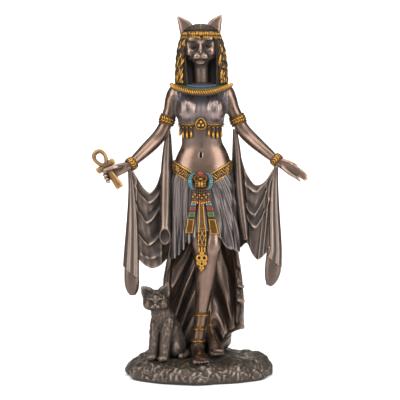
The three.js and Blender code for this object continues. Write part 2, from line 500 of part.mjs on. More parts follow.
// The cat sits upright to her right, turned outwards a little, with its head towards the front.
function cat() {
  const [PLACE, LOOKING] = [[-25.6, -7, 1.4], -30]; // in her table's units, and degrees from the front
  const place = (x, y, z) => new THREE.Vector3(x, y, z).multiplyScalar(catShare)
    .applyAxisAngle(new THREE.Vector3(0, 0, 1), degToRad(LOOKING)).add(at(...PLACE));
  const own = { place, share: catShare, sides: 6 };
  const ball = (middle, radii, sides = 6) => egg(middle, radii, { ...own, sides, turn: LOOKING });
  const body = limb([[0, 10, 2, 9.4, 6], [0, 8, 8, 11.4, 9.4], [0, 4, 18, 10.6, 9.8], [-0.4, -1, 27, 9, 8.4],
    [-1, -5, 34, 7.2, 6.8], [-1.8, -6.6, 39, 6, 5.6]], { ...own, sides: 8 });
  const haunch = (side) => ball([side * 6.6, 3, 7], [4.2, 8, 7.6]);
  const leg = (side) =>
    limb([[side * 5, -4.4, 27, 4.2], [side * 5.2, -8, 14, 3.1], [side * 5.2, -10, 0.4, 2.6]], own);
  const paw = (side) => ball([side * 5.2, -11.4, 1.2], [3, 4, 2.5]);
  const ear = (side) => limb([[-2.6 + 5.2 * side, -7.4, 46.6 + side, 4, 2.6],
    [-2.6 + 7 * side, -7.4, 50.4 + 1.4 * side, 2.9, 1.8],
    [-2.6 + 9.6 * side, -7.6, 54.4 + 2 * side, 0.5, 0.5]], own);
  const tail = limb([[0, 15, 2.4, 2.6], [9, 14, 1.8, 2.4], [14, 7, 1.4, 2.2], [13.6, -1, 1.2, 1.8]],
    { ...own, sides: 4 });
  return join([body, tail, ball([-2.6, -8.6, 43.4], [9.4, 8, 8], 8), ball([-5, -14.6, 40.4], [4, 3.4, 3]),
    ...[haunch, leg, paw, ear].flatMap(bothSides)]);
}

// The one casting, cleared of the slivers that joining leaves.
const SLIVER = 0.05;
const figure = join([rock(), train(), legs(), trunk(), skirt(), belt(), apron(), bodice(), arms(), openHand(),
  grippingHand(), shawl(SHAWL.right), shawl(SHAWL.left), collar(), head(), wig(), anklets(), cat()])
  .subtract(loopedCross(GRIP_GAP)).asOriginal().simplify(SLIVER);

// A solid as a named mesh with flat faces.
function mesh(name, shape, material) {
  const { numProp, vertProperties, triVerts } = shape.getMesh();
  const corners = new THREE.InterleavedBuffer(vertProperties, numProp);
  const geometry = new THREE.BufferGeometry()
    .setAttribute("position", new THREE.InterleavedBufferAttribute(corners, 3, 0))
    .setIndex([...triVerts]).toNonIndexed();
  geometry.computeVertexNormals();
  const made = new THREE.Mesh(geometry, material);
  made.name = name;
  return made;
}

const bronze = new THREE.MeshStandardMaterial({ color: 0x6f5c50, roughness: 0.42, metalness: 0.75 });
const paleGold = new THREE.MeshStandardMaterial({ color: 0xa8895a, roughness: 0.5, metalness: 0.55 });

const statuette = new THREE.Group();
statuette.add(mesh("figure", figure, bronze), mesh("looped_cross", loopedCross(), paleGold));

export default statuette;
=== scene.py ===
import bpy
import numpy as np
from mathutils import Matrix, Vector


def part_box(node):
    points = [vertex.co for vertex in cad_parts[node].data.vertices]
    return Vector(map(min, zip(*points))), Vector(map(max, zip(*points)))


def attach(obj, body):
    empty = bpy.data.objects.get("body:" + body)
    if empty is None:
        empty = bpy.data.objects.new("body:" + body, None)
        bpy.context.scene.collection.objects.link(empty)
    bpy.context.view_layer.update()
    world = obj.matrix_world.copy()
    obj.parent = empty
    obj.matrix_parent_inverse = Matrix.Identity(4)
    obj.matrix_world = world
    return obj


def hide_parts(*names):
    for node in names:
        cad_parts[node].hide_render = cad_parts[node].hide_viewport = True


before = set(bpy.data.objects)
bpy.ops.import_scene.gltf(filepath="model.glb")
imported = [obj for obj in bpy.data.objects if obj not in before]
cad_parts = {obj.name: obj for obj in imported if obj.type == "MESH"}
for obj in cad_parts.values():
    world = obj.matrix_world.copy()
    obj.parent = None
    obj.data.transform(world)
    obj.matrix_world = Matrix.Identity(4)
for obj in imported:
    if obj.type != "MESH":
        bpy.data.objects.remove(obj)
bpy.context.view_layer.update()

# The rock she stands on. It is the foot of the one resin casting: a low craggy slab with a flat
# underside, grey-brown with rubbed edges, and darker and mossy on top.
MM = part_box("figure")[1].z / 270.9  # one millimetre of her drawings, in metres
GROUND = 15  # height of the ground above the underside; all heights below are from the ground
ROCK_MIDDLE = (-1.2, 6)
ROCK_HALF = (55, 40)
ROCK_RIM = 8


def along(table, t):
    """The rows at t, from 0 to 1, on a smooth line through the rows of a table."""
    rows = np.asarray(table, float)
    last = len(rows) - 1
    t = np.clip(np.asarray(t, float), 0, 1) * last
    i = np.minimum(t.astype(int), last - 1)
    f = (t - i)[..., None]
    a, b, c, d = (rows[np.clip(i + k, 0, last)] for k in (-1, 0, 1, 2))
    return b + 0.5 * f * (c - a + f * (2 * a - 5 * b + 4 * c - d + f * (3 * (b - c) + d - a)))


def rise(value, low, high):
    """0 below low, 1 above high, and a smooth step between."""
    t = np.clip((value - low) / (high - low), 0, 1)
    return t * t * (3 - 2 * t)


def bell(value, width):
    """1 at nothing, falling away smoothly to either side."""
    return np.exp(-(value / width) ** 2)


SCATTER = (12.9898, 78.233, 37.719)  # weights that give each corner of space its own uneven number


def lumps(points, size, octaves=3, crags=False):
    """Random hills and hollows between about -1 and 1, of that size in millimetres and finer."""
    total = np.zeros(len(points))
    for octave in range(octaves):
        spot = points * 2**octave / size + 7.3 * octave
        cell = np.floor(spot)
        f = spot - cell
        f = f * f * (3 - 2 * f)
        value = np.zeros(len(points))
        for corner in np.ndindex(2, 2, 2):
            share = np.prod(np.where(corner, f, 1 - f), axis=1)
            uneven = np.sin((cell + corner) @ SCATTER) * 43758.5453
            value += share * (2 * (uneven - np.floor(uneven)) - 1)
        total += (1 - 3 * np.abs(value) if crags else value) / 1.8**octave
    return total


def skin(rings, joined=False):
    """The closed skin over rings of equal, even length. Open ends are closed by strips across the ring."""
    rings = np.asarray(rings, float)
    count, size = rings.shape[:2]
    number = np.arange(count * size).reshape(count, size)
    if joined:
        number = np.vstack([number, number[:1]])
    after = np.roll(number, -1, axis=1)
    faces = [np.stack([number[:-1], after[:-1], after[1:], number[1:]], -1).reshape(-1, 4)]
    if not joined:
        j = np.arange(size // 2 - 1)
        strip = np.stack([j, size - 1 - j, size - 2 - j, j + 1], -1)
        faces += [strip, strip[:, ::-1] + (count - 1) * size]
    points, faces = rings.reshape(-1, 3), np.concatenate(faces)
    a, b, c, d = (points[faces[:, k]] - points[0] for k in range(4))
    if (np.cross(b - a, c - a) * a + np.cross(c - a, d - a) * a).sum() < 0:
        faces = faces[:, ::-1]
    return points, faces


def neighbour_means(points, near, far):
    """The mean of each point's neighbours, which edges join from near to far and from far to near."""
    near, far = np.concatenate([near, far]), np.concatenate([far, near])
    neighbours = np.maximum(np.bincount(near, minlength=len(points)), 1)
    sums = [np.bincount(near, points[far, axis], len(points)) for axis in range(3)]
    return np.stack([total / neighbours for total in sums], 1)


DEEPEST, HIGHEST = -0.12, 0.085  # limits of the relief, as shares of the reach it is measured over


def mark_relief(mesh, reach):
    """Notes at each point how far it stands out of the surface around it, for the wash and the rubbing."""
    count = len(mesh.vertices)
    points, normals = np.empty(count * 3), np.empty(count * 3)
    mesh.vertices.foreach_get("co", points)
    mesh.vertices.foreach_get("normal", normals)
    points, normals = points.reshape(-1, 3) / MM, normals.reshape(-1, 3)
    ends = np.empty(len(mesh.edges) * 2, np.int32)
    mesh.edges.foreach_get("vertices", ends)
    near, far = ends.reshape(-1, 2).T
    spacing = np.median(np.linalg.norm(points[near] - points[far], axis=1))
    smooth = points
    for _ in range(int(np.clip((reach / spacing) ** 2, 2, 40))):
        smooth = 0.4 * smooth + 0.6 * neighbour_means(smooth, near, far)
    relief = ((points - smooth) * normals).sum(1) / reach
    relief = np.clip(relief - np.median(relief), DEEPEST, HIGHEST)
    mesh.attributes.new("relief", "FLOAT", "POINT").data.foreach_set("value", relief)


def piece(name, parts, finishes, node="figure", reach=1.6, keep=1.0):
    """Makes one object of parts, each (points in millimetres, faces, number of its finish)."""
    points, faces, paint, start = [], [], [], 0
    for part_points, part_faces, *number in parts:
        points.append(part_points)
        faces += (np.asarray(part_faces) + start).tolist()
        paint.append(np.broadcast_to(number[0] if number else 0, len(part_faces)))
        start += len(part_points)
    mesh = bpy.data.meshes.new(name)
    mesh.from_pydata((np.concatenate(points) * MM + (0, 0, GROUND * MM)).tolist(), [], faces)
    for finish in finishes:
        mesh.materials.append(finish)
    mesh.polygons.foreach_set("material_index", np.concatenate(paint).astype(np.int32))
    made = bpy.data.objects.new(name, mesh)
    bpy.context.scene.collection.objects.link(made)
    if keep < 1:
        thinner = made.modifiers.new("thinner", "DECIMATE")
        thinner.ratio = keep
        thinned = made.evaluated_get(bpy.context.evaluated_depsgraph_get())
        made.data = bpy.data.meshes.new_from_object(thinned)
        made.modifiers.clear()
        bpy.data.meshes.remove(mesh)
    made.data.shade_smooth()
    mark_relief(made.data, reach)
    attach(made, "root")
    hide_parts(node)
    return made


def add_node(tree, kind, inputs, **settings):
    """A shader node with its settings. An input is linked where it is given a socket, and set otherwise."""
    node = tree.nodes.new(kind)
    for name, value in settings.items():
        setattr(node, name, value)
    for key, value in inputs.items():
        if isinstance(value, bpy.types.NodeSocket):
            tree.links.new(value, node.inputs[key])
        else:
            node.inputs[key].default_value = value
    return node


def sum_of(tree, operation, first, second, clamp=False):
    node = add_node(tree, "ShaderNodeMath", {0: first, 1: second}, operation=operation, use_clamp=clamp)
    return node.outputs[0]


def blend_of(tree, share, first, second):
    """The first colour where the share is 0, and the second where it is 1."""
    return add_node(tree, "ShaderNodeMix", {0: share, 6: first, 7: second}, data_type="RGBA").outputs[2]


RELIEF_GAIN = 10.0  # how strongly relief brings out the wash and the rubbing
LEVEL_RANGE = 0.12  # relief this small, after the gain, counts as level
STAIN_SCALE = 260.0  # about 4 mm from blotch to blotch
PAINTED_SHADE_REACH = 0.012  # how far away, in metres, a neighbouring form still darkens a hollow with painted shade
GRAIN_HEIGHT = 0.0004


def make_patina_and_painted_shade():
    """The maker's finish: a dark wash that stays in the hollows, and high places rubbed bright, with
    painted shade added to the wash where nearby forms close in.
    """
    tree = bpy.data.node_groups.new("patina and painted shade", "ShaderNodeTree")
    for name in ("Body", "Rubbed", "Wash and shading"):
        tree.interface.new_socket(name, in_out="INPUT", socket_type="NodeSocketColor")
    for name in ("Wash and shading strength", "Rub strength", "Grain size", "Grain depth", "Roughness"):
        tree.interface.new_socket(name, in_out="INPUT", socket_type="NodeSocketFloat")
    results = (("Color", "Color"), ("Metal", "Float"), ("Roughness", "Float"), ("Normal", "Vector"))
    for name, kind in results:
        tree.interface.new_socket(name, in_out="OUTPUT", socket_type="NodeSocket" + kind)
    given = tree.nodes.new("NodeGroupInput").outputs
    relief = add_node(tree, "ShaderNodeAttribute", {}, attribute_name="relief").outputs["Fac"]
    # Painted shade: ambient occlusion darkens the colour where neighbouring forms close in, on top of the
    # real wash in the creases.
    sky = add_node(tree, "ShaderNodeAmbientOcclusion", {"Distance": PAINTED_SHADE_REACH}, samples=6).outputs["AO"]
    place = tree.nodes.new("ShaderNodeTexCoord").outputs["Object"]
    blotches = {"Vector": place, "Scale": STAIN_SCALE, "Detail": 5.0}
    stain = add_node(tree, "ShaderNodeTexNoise", blotches).outputs["Fac"]
    grit = {"Vector": place, "Scale": given["Grain size"], "Detail": 4.0}
    grain = add_node(tree, "ShaderNodeTexNoise", grit).outputs["Fac"]
    stain = sum_of(tree, "SUBTRACT", stain, 0.5)
    crease = sum_of(tree, "SUBTRACT", sum_of(tree, "MULTIPLY", relief, -RELIEF_GAIN), LEVEL_RANGE)
    # the painted shade, added to the wash of the creases and to the stains
    shade = sum_of(tree, "MULTIPLY", sum_of(tree, "SUBTRACT", 0.8, sky), 1.2, clamp=True)
    wash_and_painted_shade = sum_of(tree, "ADD", sum_of(tree, "MAXIMUM", crease, 0.0), shade)
    wash_and_painted_shade = sum_of(tree, "ADD", wash_and_painted_shade, sum_of(tree, "MULTIPLY", stain, 0.4))
    wash_and_painted_shade = sum_of(tree, "MULTIPLY", wash_and_painted_shade, given["Wash and shading strength"], clamp=True)
    high = sum_of(tree, "SUBTRACT", sum_of(tree, "MULTIPLY", relief, RELIEF_GAIN), LEVEL_RANGE)
    high = sum_of(tree, "ADD", sum_of(tree, "MAXIMUM", high, 0.0), sum_of(tree, "MULTIPLY", stain, 0.5))
    high = sum_of(tree, "MULTIPLY", high, given["Rub strength"], clamp=True)
    rubbed = blend_of(tree, high, given["Body"], given["Rubbed"])
    colour = blend_of(tree, wash_and_painted_shade, rubbed, given["Wash and shading"])
    dull = sum_of(tree, "ADD", given["Roughness"], sum_of(tree, "MULTIPLY", wash_and_painted_shade, 0.35))
    dull = sum_of(tree, "ADD", dull, sum_of(tree, "MULTIPLY", stain, 0.25), clamp=True)
    bumps = {"Strength": given["Grain depth"], "Distance": GRAIN_HEIGHT, "Height": grain}
    bump = add_node(tree, "ShaderNodeBump", bumps)
    add_node(tree, "NodeGroupOutput", {
        "Color": colour, "Metal": sum_of(tree, "SUBTRACT", 1.0, wash_and_painted_shade, clamp=True),
        "Roughness": dull, "Normal": bump.outputs["Normal"]})
    return tree


PATINA_AND_PAINTED_SHADE = make_patina_and_painted_shade()


def finish(name, body, rubbed, wash_and_shade, wash_and_shade_strength=1.0, rub_strength=1.0, grain=1500.0, grain_depth=0.15,
           roughness=0.36, metal=True):
    """A material that shows the patina and its painted shade in its own colours; the wash colour is also
    the colour of the painted shade. Paints are the same without the metal.
    """
    made = bpy.data.materials.new(name)
    made.use_nodes = True
    tree = made.node_tree
    shader = tree.nodes["Principled BSDF"]
    group = add_node(tree, "ShaderNodeGroup", {}, node_tree=PATINA_AND_PAINTED_SHADE)
    for key, value in (("Body", (*body, 1)), ("Rubbed", (*rubbed, 1)), ("Wash and shading", (*wash_and_shade, 1)),
                       ("Wash and shading strength", wash_and_shade_strength), ("Rub strength", rub_strength),
                       ("Grain size", grain), ("Grain depth", grain_depth), ("Roughness", roughness)):
        group.inputs[key].default_value = value
    tree.links.new(group.outputs["Color"], shader.inputs["Base Color"])
    tree.links.new(group.outputs["Roughness"], shader.inputs["Roughness"])
    tree.links.new(group.outputs["Normal"], shader.inputs["Normal"])
    if metal:
        tree.links.new(group.outputs["Metal"], shader.inputs["Metallic"])
    return made


rock_finish = finish("rock bronze", (0.085, 0.065, 0.053), (0.37, 0.3, 0.245), (0.018, 0.013, 0.01),
                     1.2, 0.9, 900.0, 0.9, 0.5)
moss_finish = finish("mossy bronze", (0.042, 0.033, 0.022), (0.15, 0.12, 0.08), (0.01, 0.01, 0.005),
                     1.3, 1.2, 700.0, 1.0, 0.6)


def rock_rings():
    turn = np.linspace(0, 2 * np.pi, 320, endpoint=False)
    # share of the radius, of the rim's height, and of the mound above it
    corners = [(0.955, 0, 0), (0.985, 0.1, 0), (1, 0.4, 0), (0.99, 0.8, 0), (0.95, 1, 0.2),
               (0.88, 1, 0.66), (0.76, 1, 0.96), (0.5, 1, 1.03), (0.1, 1, 1.05)]
    profile = along(corners, np.linspace(0, 1, 80))
    reach, edge, mound = profile.T[:, :, None]
    outline = 1 + 0.02 * np.sin(3 * turn + 1.6) + 0.016 * np.sin(7 * turn) + 0.012 * np.cos(12 * turn)
    rim = ROCK_RIM * (0.8 + 0.4 * np.abs(np.sin(turn)))
    top = GROUND + 1.6 * rise(np.sin(turn) * reach, 0, 0.5)
    x = ROCK_MIDDLE[0] + ROCK_HALF[0] * reach * outline * np.cos(turn)
    y = ROCK_MIDDLE[1] + ROCK_HALF[1] * reach * outline * np.sin(turn)
    z = edge * rim + mound * (top - rim)
    points = np.stack([x, y, z], -1)
    flat = points.reshape(-1, 3)
    bent = flat + 2.5 * np.stack([lumps(flat + shift, 5, 1) for shift in (0, 50, 90)], -1)
    hills = lumps(bent, 15, 5) * 1.7 + lumps(bent * (1, 1, 1.7), 8, 2, crags=True) * 0.12
    hills = hills.reshape(z.shape)
    outward = np.stack([np.cos(turn) + 0 * reach, np.sin(turn) + 0 * reach], -1)
    side = (1 - rise(mound, 0.4, 1)) * rise(edge, 0, 0.3)
    points[..., :2] += (hills * side)[..., None] * outward
    tufts = 0.4 * lumps(flat, 2.8, 2).reshape(z.shape) * rise(mound, 0.5, 0.9)
    points[..., 2] += tufts + hills * (0.4 + 0.6 * rise(reach, 0.5, 0.8)) * rise(edge, 0, 0.5) - GROUND
    return points


rock_points, rock_faces = skin(rock_rings())
middles = rock_points[rock_faces].mean(1)
on_top = (middles[:, 2] + 1.6 * lumps(middles, 5) > -2.6) & (lumps(middles, 9) > -0.35)
piece("rock", [(rock_points, rock_faces, on_top)], [rock_finish, moss_finish], reach=1.6)


# Her body: legs, trunk, arms and hands, cast bronze with the high places polished to a pinkish tan.
# Each limb is modelled in a block of small cells that is then turned into a skin, as clay would be.
BREASTS = ((-8.6, -6.6, 185.4), (10.2, -6.6, 185.4))
SIDEWAYS = (1, 0, 0)
FORWARDS = (0, 1, 0)
# rows down each limb: x, y and z of its middle, half width and half depth
FRONT_LEG = [(10.5, -4, 110, 9.6, 10), (9.8, -10, 97, 7.2, 7.6), (9, -11.8, 87, 6.4, 7),
             (6.6, -10.2, 76, 6.6, 7), (4.2, -8.2, 63, 7.1, 7.3), (2.6, -6.6, 49, 6.3, 6.6),
             (1, -5.4, 35, 4.9, 5.2), (-1, -4.6, 22, 4.1, 4.4), (-2, -3.4, 11, 4.1, 4.8),
             (-2.2, -2, 2, 4, 5)]
BACK_LEG = [(-5.5, 3, 108, 9, 9.4), (-2, 3.4, 88, 6.6, 6.8), (1, 6, 76, 6, 6.6), (3.4, 8.6, 60, 6.6, 7),
            (5.4, 10, 38, 4.8, 5), (6.4, 10.4, 26, 3.9, 4.2), (6.6, 10.6, 16, 3.8, 4.4)]
FRONT_FOOT = [(-2.4, 3, 4, 3.2, 3.8), (-2.2, -3, 5.4, 4, 5.2), (-1.2, -11, 4.4, 4.4, 4.6),
              (0.2, -18, 3, 5.6, 3.4), (0.9, -25, 2, 5.9, 2.2)]
BACK_FOOT = [(5.4, 14, 12, 3, 4), (7.4, 8.6, 12.4, 3.8, 5.6), (9.8, 2.6, 9.6, 4.2, 4.4),
             (12, -3, 6.2, 5.2, 3.2), (13, -6.4, 5, 5.4, 2.2)]
# how far each toe is across and behind the big one, and its half thickness
TOES = [(0, 0, 1.9), (3.1, 0.4, 1.25), (5.4, 1.4, 1.15), (7.6, 2.6, 1.1), (9.6, 4, 1)]
TRUNK = [(2, 0.6, 130, 21, 12), (2, 0.4, 142, 21.6, 11.6), (2, 0.2, 150, 19.4, 10.4),
         (1.5, 0.6, 159, 15.4, 8.8), (1, 1, 168, 14.9, 8.6), (0.8, 1, 177, 16.8, 9.3),
         (0.6, 1.2, 187, 18.8, 9.2), (0.9, 2, 194, 19.6, 7.8), (1, 2.2, 199, 16.6, 7),
         (1.2, 2, 202, 8.4, 6.4)]
RIGHT_ARM = [(-17, 2, 199, 6), (-20.8, 2, 193, 5.2), (-22.2, 2.4, 186, 4.8), (-24.6, 3, 177.5, 4.9),
             (-28, 3.2, 169.6, 5), (-32.4, 2.6, 163.4, 5.2), (-37.6, -0.6, 158, 5.1),
             (-43.6, -5, 152.2, 4.4), (-49.2, -8.8, 147, 3.5), (-52.6, -10.6, 144.2, 3)]
LEFT_ARM = [(18.4, 2, 199, 6), (22, 2, 193, 5.4), (24.4, 2.6, 186, 5), (28.4, 3.2, 177.5, 4.9),
            (32, 3.4, 170.8, 5.1), (36, 2.2, 166, 5.2), (41.6, -1.4, 160.6, 4.9), (48, -5.4, 155, 4.2),
            (54.2, -8.8, 149.8, 3.4), (58, -10.4, 147, 2.8)]


class Clay:
    """A block of small cells, each holding its distance from the skin of what is modelled in the block."""

    def __init__(self, low, high, cell):
        self.low, self.cell = np.array(low, float), cell
        self.far = np.full(np.ceil((np.array(high) - low) / cell).astype(int), 4.0, np.float32)

    def region(self, low, high):
        """The cells between two corners, and the x, y and z of their middles."""
        first = np.clip(((np.array(low) - self.low) / self.cell).astype(int), 0, self.far.shape)
        last = np.clip(((np.array(high) - self.low) / self.cell).astype(int) + 1, 0, self.far.shape)
        cells = tuple(slice(a, b) for a, b in zip(first, last))
        steps = [self.low[k] + self.cell * np.arange(first[k], last[k]) for k in range(3)]
        return cells, np.meshgrid(*steps, indexing="ij", sparse=True)

    def press(self, cells, new, blend, cut=False):
        """Joins a new form to the block, or cuts it out, with a soft edge as wide as blend."""
        old = self.far[cells]
        sign = -1 if cut else 1
        lap = np.clip(blend - np.abs(old - sign * new), 0, None)
        both = np.maximum(old, -new) if cut else np.minimum(old, new)
        self.far[cells] = both - sign * lap * lap / (4 * blend)

    def egg(self, middle, radii, blend=1.0, cut=False):
        middle, radii = np.array(middle, float), np.array(radii, float)
        reach = radii + blend + 1
        cells, place = self.region(middle - reach, middle + reach)
        near = np.sqrt(sum(((p - m) / r) ** 2 for p, m, r in zip(place, middle, radii))) + 1e-6
        steep = np.sqrt(sum(((p - m) / r**2) ** 2 for p, m, r in zip(place, middle, radii))) + 1e-6
        self.press(cells, near * (near - 1) / steep, blend, cut)

    def limb(self, table, blend=1.0, side=SIDEWAYS, cut=False, count=None):
        """A limb through rows of x, y, z, half width and half depth, its width measured along side."""
        table = np.array([row if len(row) == 5 else (*row, row[3]) for row in table], float)
        rows = along(table, np.linspace(0, 1, (count or 4 * (len(table) - 1)) + 1))
        reach = rows[:, 3:].max() + blend + 1
        cells, place = self.region(rows[:, :3].min(0) - reach, rows[:, :3].max(0) + reach)
        whole = np.full([s.stop - s.start for s in cells], 4.0, np.float32)
        corner = [s.start for s in cells]
        for start, end in zip(rows[:-1], rows[1:]):
            reach = max(start[3:].max(), end[3:].max()) + blend + 1
            low, high = np.minimum(start, end)[:3], np.maximum(start, end)[:3]
            own, (x, y, z) = self.region(low - reach, high + reach)
            line = end[:3] - start[:3]
            length = np.linalg.norm(line)
            line = line / length
            across = np.array(side, float) - line * np.dot(side, line)
            across = across / np.linalg.norm(across)
            fore = np.cross(line, across)
            x, y, z = x - start[0], y - start[1], z - start[2]
            down = x * line[0] + y * line[1] + z * line[2]
            share = np.clip(down / length, 0, 1)
            wide = start[3] + (end[3] - start[3]) * share
            deep = start[4] + (end[4] - start[4]) * share
            small = np.minimum(wide, deep)
            past = down - share * length
            u = (x * across[0] + y * across[1] + z * across[2]) / wide
            v = (x * fore[0] + y * fore[1] + z * fore[2]) / deep
            own_distance = (np.sqrt(u * u + v * v + (past / small) ** 2) - 1) * small
            inner = tuple(slice(s.start - c, s.stop - c) for s, c in zip(own, corner))
            whole[inner] = np.minimum(whole[inner], own_distance)
        self.press(cells, whole, blend, cut)

    def column(self, table, blend=1.0, cut=False):
        """An upright column, flat at both ends, through rows of z, x, y, half width and half depth."""
        rows = along(table, np.linspace(0, 1, 100))
        rows = rows[np.argsort(rows[:, 0])]
        reach = rows[:, 3].max() + blend + 1
        low = (rows[:, 1].min() - reach, rows[:, 2].min() - reach, rows[0, 0] - blend - 1)
        high = (rows[:, 1].max() + reach, rows[:, 2].max() + reach, rows[-1, 0] + blend + 1)
        cells, (x, y, z) = self.region(low, high)
        mid_x, mid_y, wide, deep = (np.interp(z, rows[:, 0], rows[:, k]) for k in (1, 2, 3, 4))
        near = np.sqrt(((x - mid_x) / wide) ** 2 + ((y - mid_y) / deep) ** 2)
        around = (near - 1) * np.minimum(wide, deep)
        self.press(cells, np.maximum(around, np.maximum(rows[0, 0] - z, z - rows[-1, 0])), blend, cut)

    def cast(self, smoothing=2):
        """The skin where the distance is nothing, as points and faces."""
        inside = self.far < 0
        corners = list(np.ndindex(2, 2, 2))
        size = np.array(self.far.shape) - 1
        shifted = [inside[tuple(slice(c, c + n) for c, n in zip(corner, size))] for corner in corners]
        number = np.full(size, -1)
        crossed = np.argwhere(np.logical_or.reduce(shifted) & ~np.logical_and.reduce(shifted))
        number[tuple(crossed.T)] = np.arange(len(crossed))
        values = {c: self.far[tuple((crossed + c).T)] for c in corners}
        points, hits = np.zeros((len(crossed), 3)), np.zeros(len(crossed))
        for a in corners:
            for axis in (k for k in range(3) if not a[k]):
                b = tuple(1 if k == axis else a[k] for k in range(3))
                meets = (values[a] < 0) != (values[b] < 0)
                share = np.where(meets, values[a] / np.where(meets, values[a] - values[b], 1), 0)
                spot = np.repeat([a], len(crossed), 0).astype(float)
                spot[:, axis] += share
                points += spot * meets[:, None]
                hits += meets
        points = self.low + self.cell * (crossed + points / hits[:, None])
        faces = []
        for axis in range(3):
            b, c = (axis + 1) % 3, (axis + 2) % 3
            low = inside.take(range(self.far.shape[axis] - 1), axis)
            high = inside.take(range(1, self.far.shape[axis]), axis)
            spots = np.argwhere(low != high)
            spots = spots[(spots[:, b] > 0) & (spots[:, b] < size[b])]
            spots = spots[(spots[:, c] > 0) & (spots[:, c] < size[c])]
            quad = []
            for step_b, step_c in ((-1, -1), (0, -1), (0, 0), (-1, 0)):
                cell = spots.copy()
                cell[:, b] += step_b
                cell[:, c] += step_c
                quad.append(number[tuple(cell.T)])
            quad = np.stack(quad, -1)
            out = low[tuple(spots.T)]
            faces += [quad[out], quad[~out][:, ::-1]]
        faces = np.concatenate(faces)
        near, far = faces.reshape(-1), np.roll(faces, -1, axis=1).reshape(-1)
        for _ in range(smoothing):
            points = 0.5 * points + 0.5 * neighbour_means(points, near, far)
        return points, faces


skin_finish = finish("polished bronze skin", (0.185, 0.122, 0.092), (0.5, 0.36, 0.285),
                     (0.02, 0.012, 0.009), 0.8, 0.6, 2200.0, 0.06, 0.3)
foot_finish = finish("darker bronze feet", (0.15, 0.098, 0.074), (0.4, 0.28, 0.22),
                     (0.02, 0.012, 0.009), 1.0, 0.35, 2200.0, 0.06, 0.34)


def toes(clay, middle, spread):
    for across, behind, thick in TOES:
        x, tip, z = middle[0] + spread * across, middle[1] + behind - 2.6, middle[2] + thick
        clay.limb([(x, tip + 6, z - 1.2, thick), (x, tip + 2, z - 1.4, thick * 0.92),
                   (x, tip, z - 1.9, thick)], 0.5)
        nail = (thick * 0.6, thick * 0.7, thick * 0.3)
        clay.egg((x, tip - 0.7 * thick, middle[2] + thick * 1.5 - 1.9), nail, 0.15)


legs = Clay((-15, -36, 0.2), (23, 20, 113), 0.5)
for leg in (BACK_LEG, FRONT_LEG):
    legs.limb(leg, 1.5)
legs.egg((9.2, -14.8, 86), (4.6, 3.2, 6), 4)
legs.limb([(8.4, -15.4, 81, 1.9), (6.2, -14.6, 70, 1.9), (4.2, -12.8, 56, 1.7), (2, -10, 38, 1.3),
           (-0.4, -8, 24, 1)], 3.5)
for foot, heel in ((FRONT_FOOT, (-2.3, 1, 2.6)), (BACK_FOOT, (5.6, 12.4, 11))):
    legs.limb(foot, 2.5)
    legs.egg(heel, (3.4, 3.8, 3), 2)
for ankle in ((-6, -3, 8), (2, -3, 8), (3.2, 9, 17), (10, 9, 17)):
    legs.egg(ankle, (1.2, 1.8, 1.6), 1.6)
toes(legs, (-3.8, -28, 2.2), 1)
toes(legs, (8.8, -9.4, 4.4), 0.86)
leg_points, leg_faces = legs.cast()
x, y, z = leg_points[leg_faces].mean(1).T
# each foot is darker below its lowest anklet
FRONT_ANKLE, BACK_ANKLE, BETWEEN_LEGS = 12.6, 22.6, 3.2
on_foot = (z < FRONT_ANKLE) | ((x > BETWEEN_LEGS) & (z < BACK_ANKLE))
piece("legs", [(leg_points, leg_faces, on_foot)], [skin_finish, foot_finish], keep=0.42, reach=3)

body = Clay((-82, -22, 122), (82, 16, 206), 0.55)
body.limb(TRUNK, 2, count=40)
for breast in BREASTS:
    body.egg(breast, (8, 7.2, 8.8), 5)
for table in (RIGHT_ARM, LEFT_ARM):
    body.limb([(*row, row[3]) for row in table], 3, FORWARDS)
for x in (-17.6, 19.2):
    body.egg((x, 1.6, 197), (5.8, 5.4, 5), 3)
body.limb([(1, -9.8, 172, 0.7), (1, -9.8, 158, 0.7)], 2.8, cut=True)
body.limb([(0.6, -9.4, 153.2, 0.8, 2.2), (0.5, -9.8, 150.4, 0.9, 2.2)], 0.5, cut=True)

# the open left hand, its fingers a little spread
body.limb([(56.6, -10.2, 147.8, 2.3, 3), (61.8, -12, 145, 2, 4.2), (66.4, -13.2, 142.6, 1.7, 4.6),
           (69.2, -13.8, 141.2, 1.3, 4.3)], 1.2, FORWARDS)
for finger, thick in (([(67.4, -13.6, 144.4), (73.2, -14.4, 140.8), (78.2, -15.4, 137)], 1.25),
                      ([(68.2, -13.8, 142.4), (73.8, -15, 138.4), (78.4, -16, 134.6)], 1.25),
                      ([(68, -13.8, 140.6), (73, -15.2, 136.8), (76.8, -16.4, 133.8)], 1.2),
                      ([(66.8, -13.6, 138.8), (70.6, -15, 135.4), (73.2, -16.2, 133)], 1.1),
                      ([(60.8, -13, 143), (65, -15.6, 139), (69.4, -17.2, 136)], 1.45)):
    body.limb([(*joint, thick * taper) for joint, taper in zip(finger, (1.15, 1, 0.75))], 0.5)

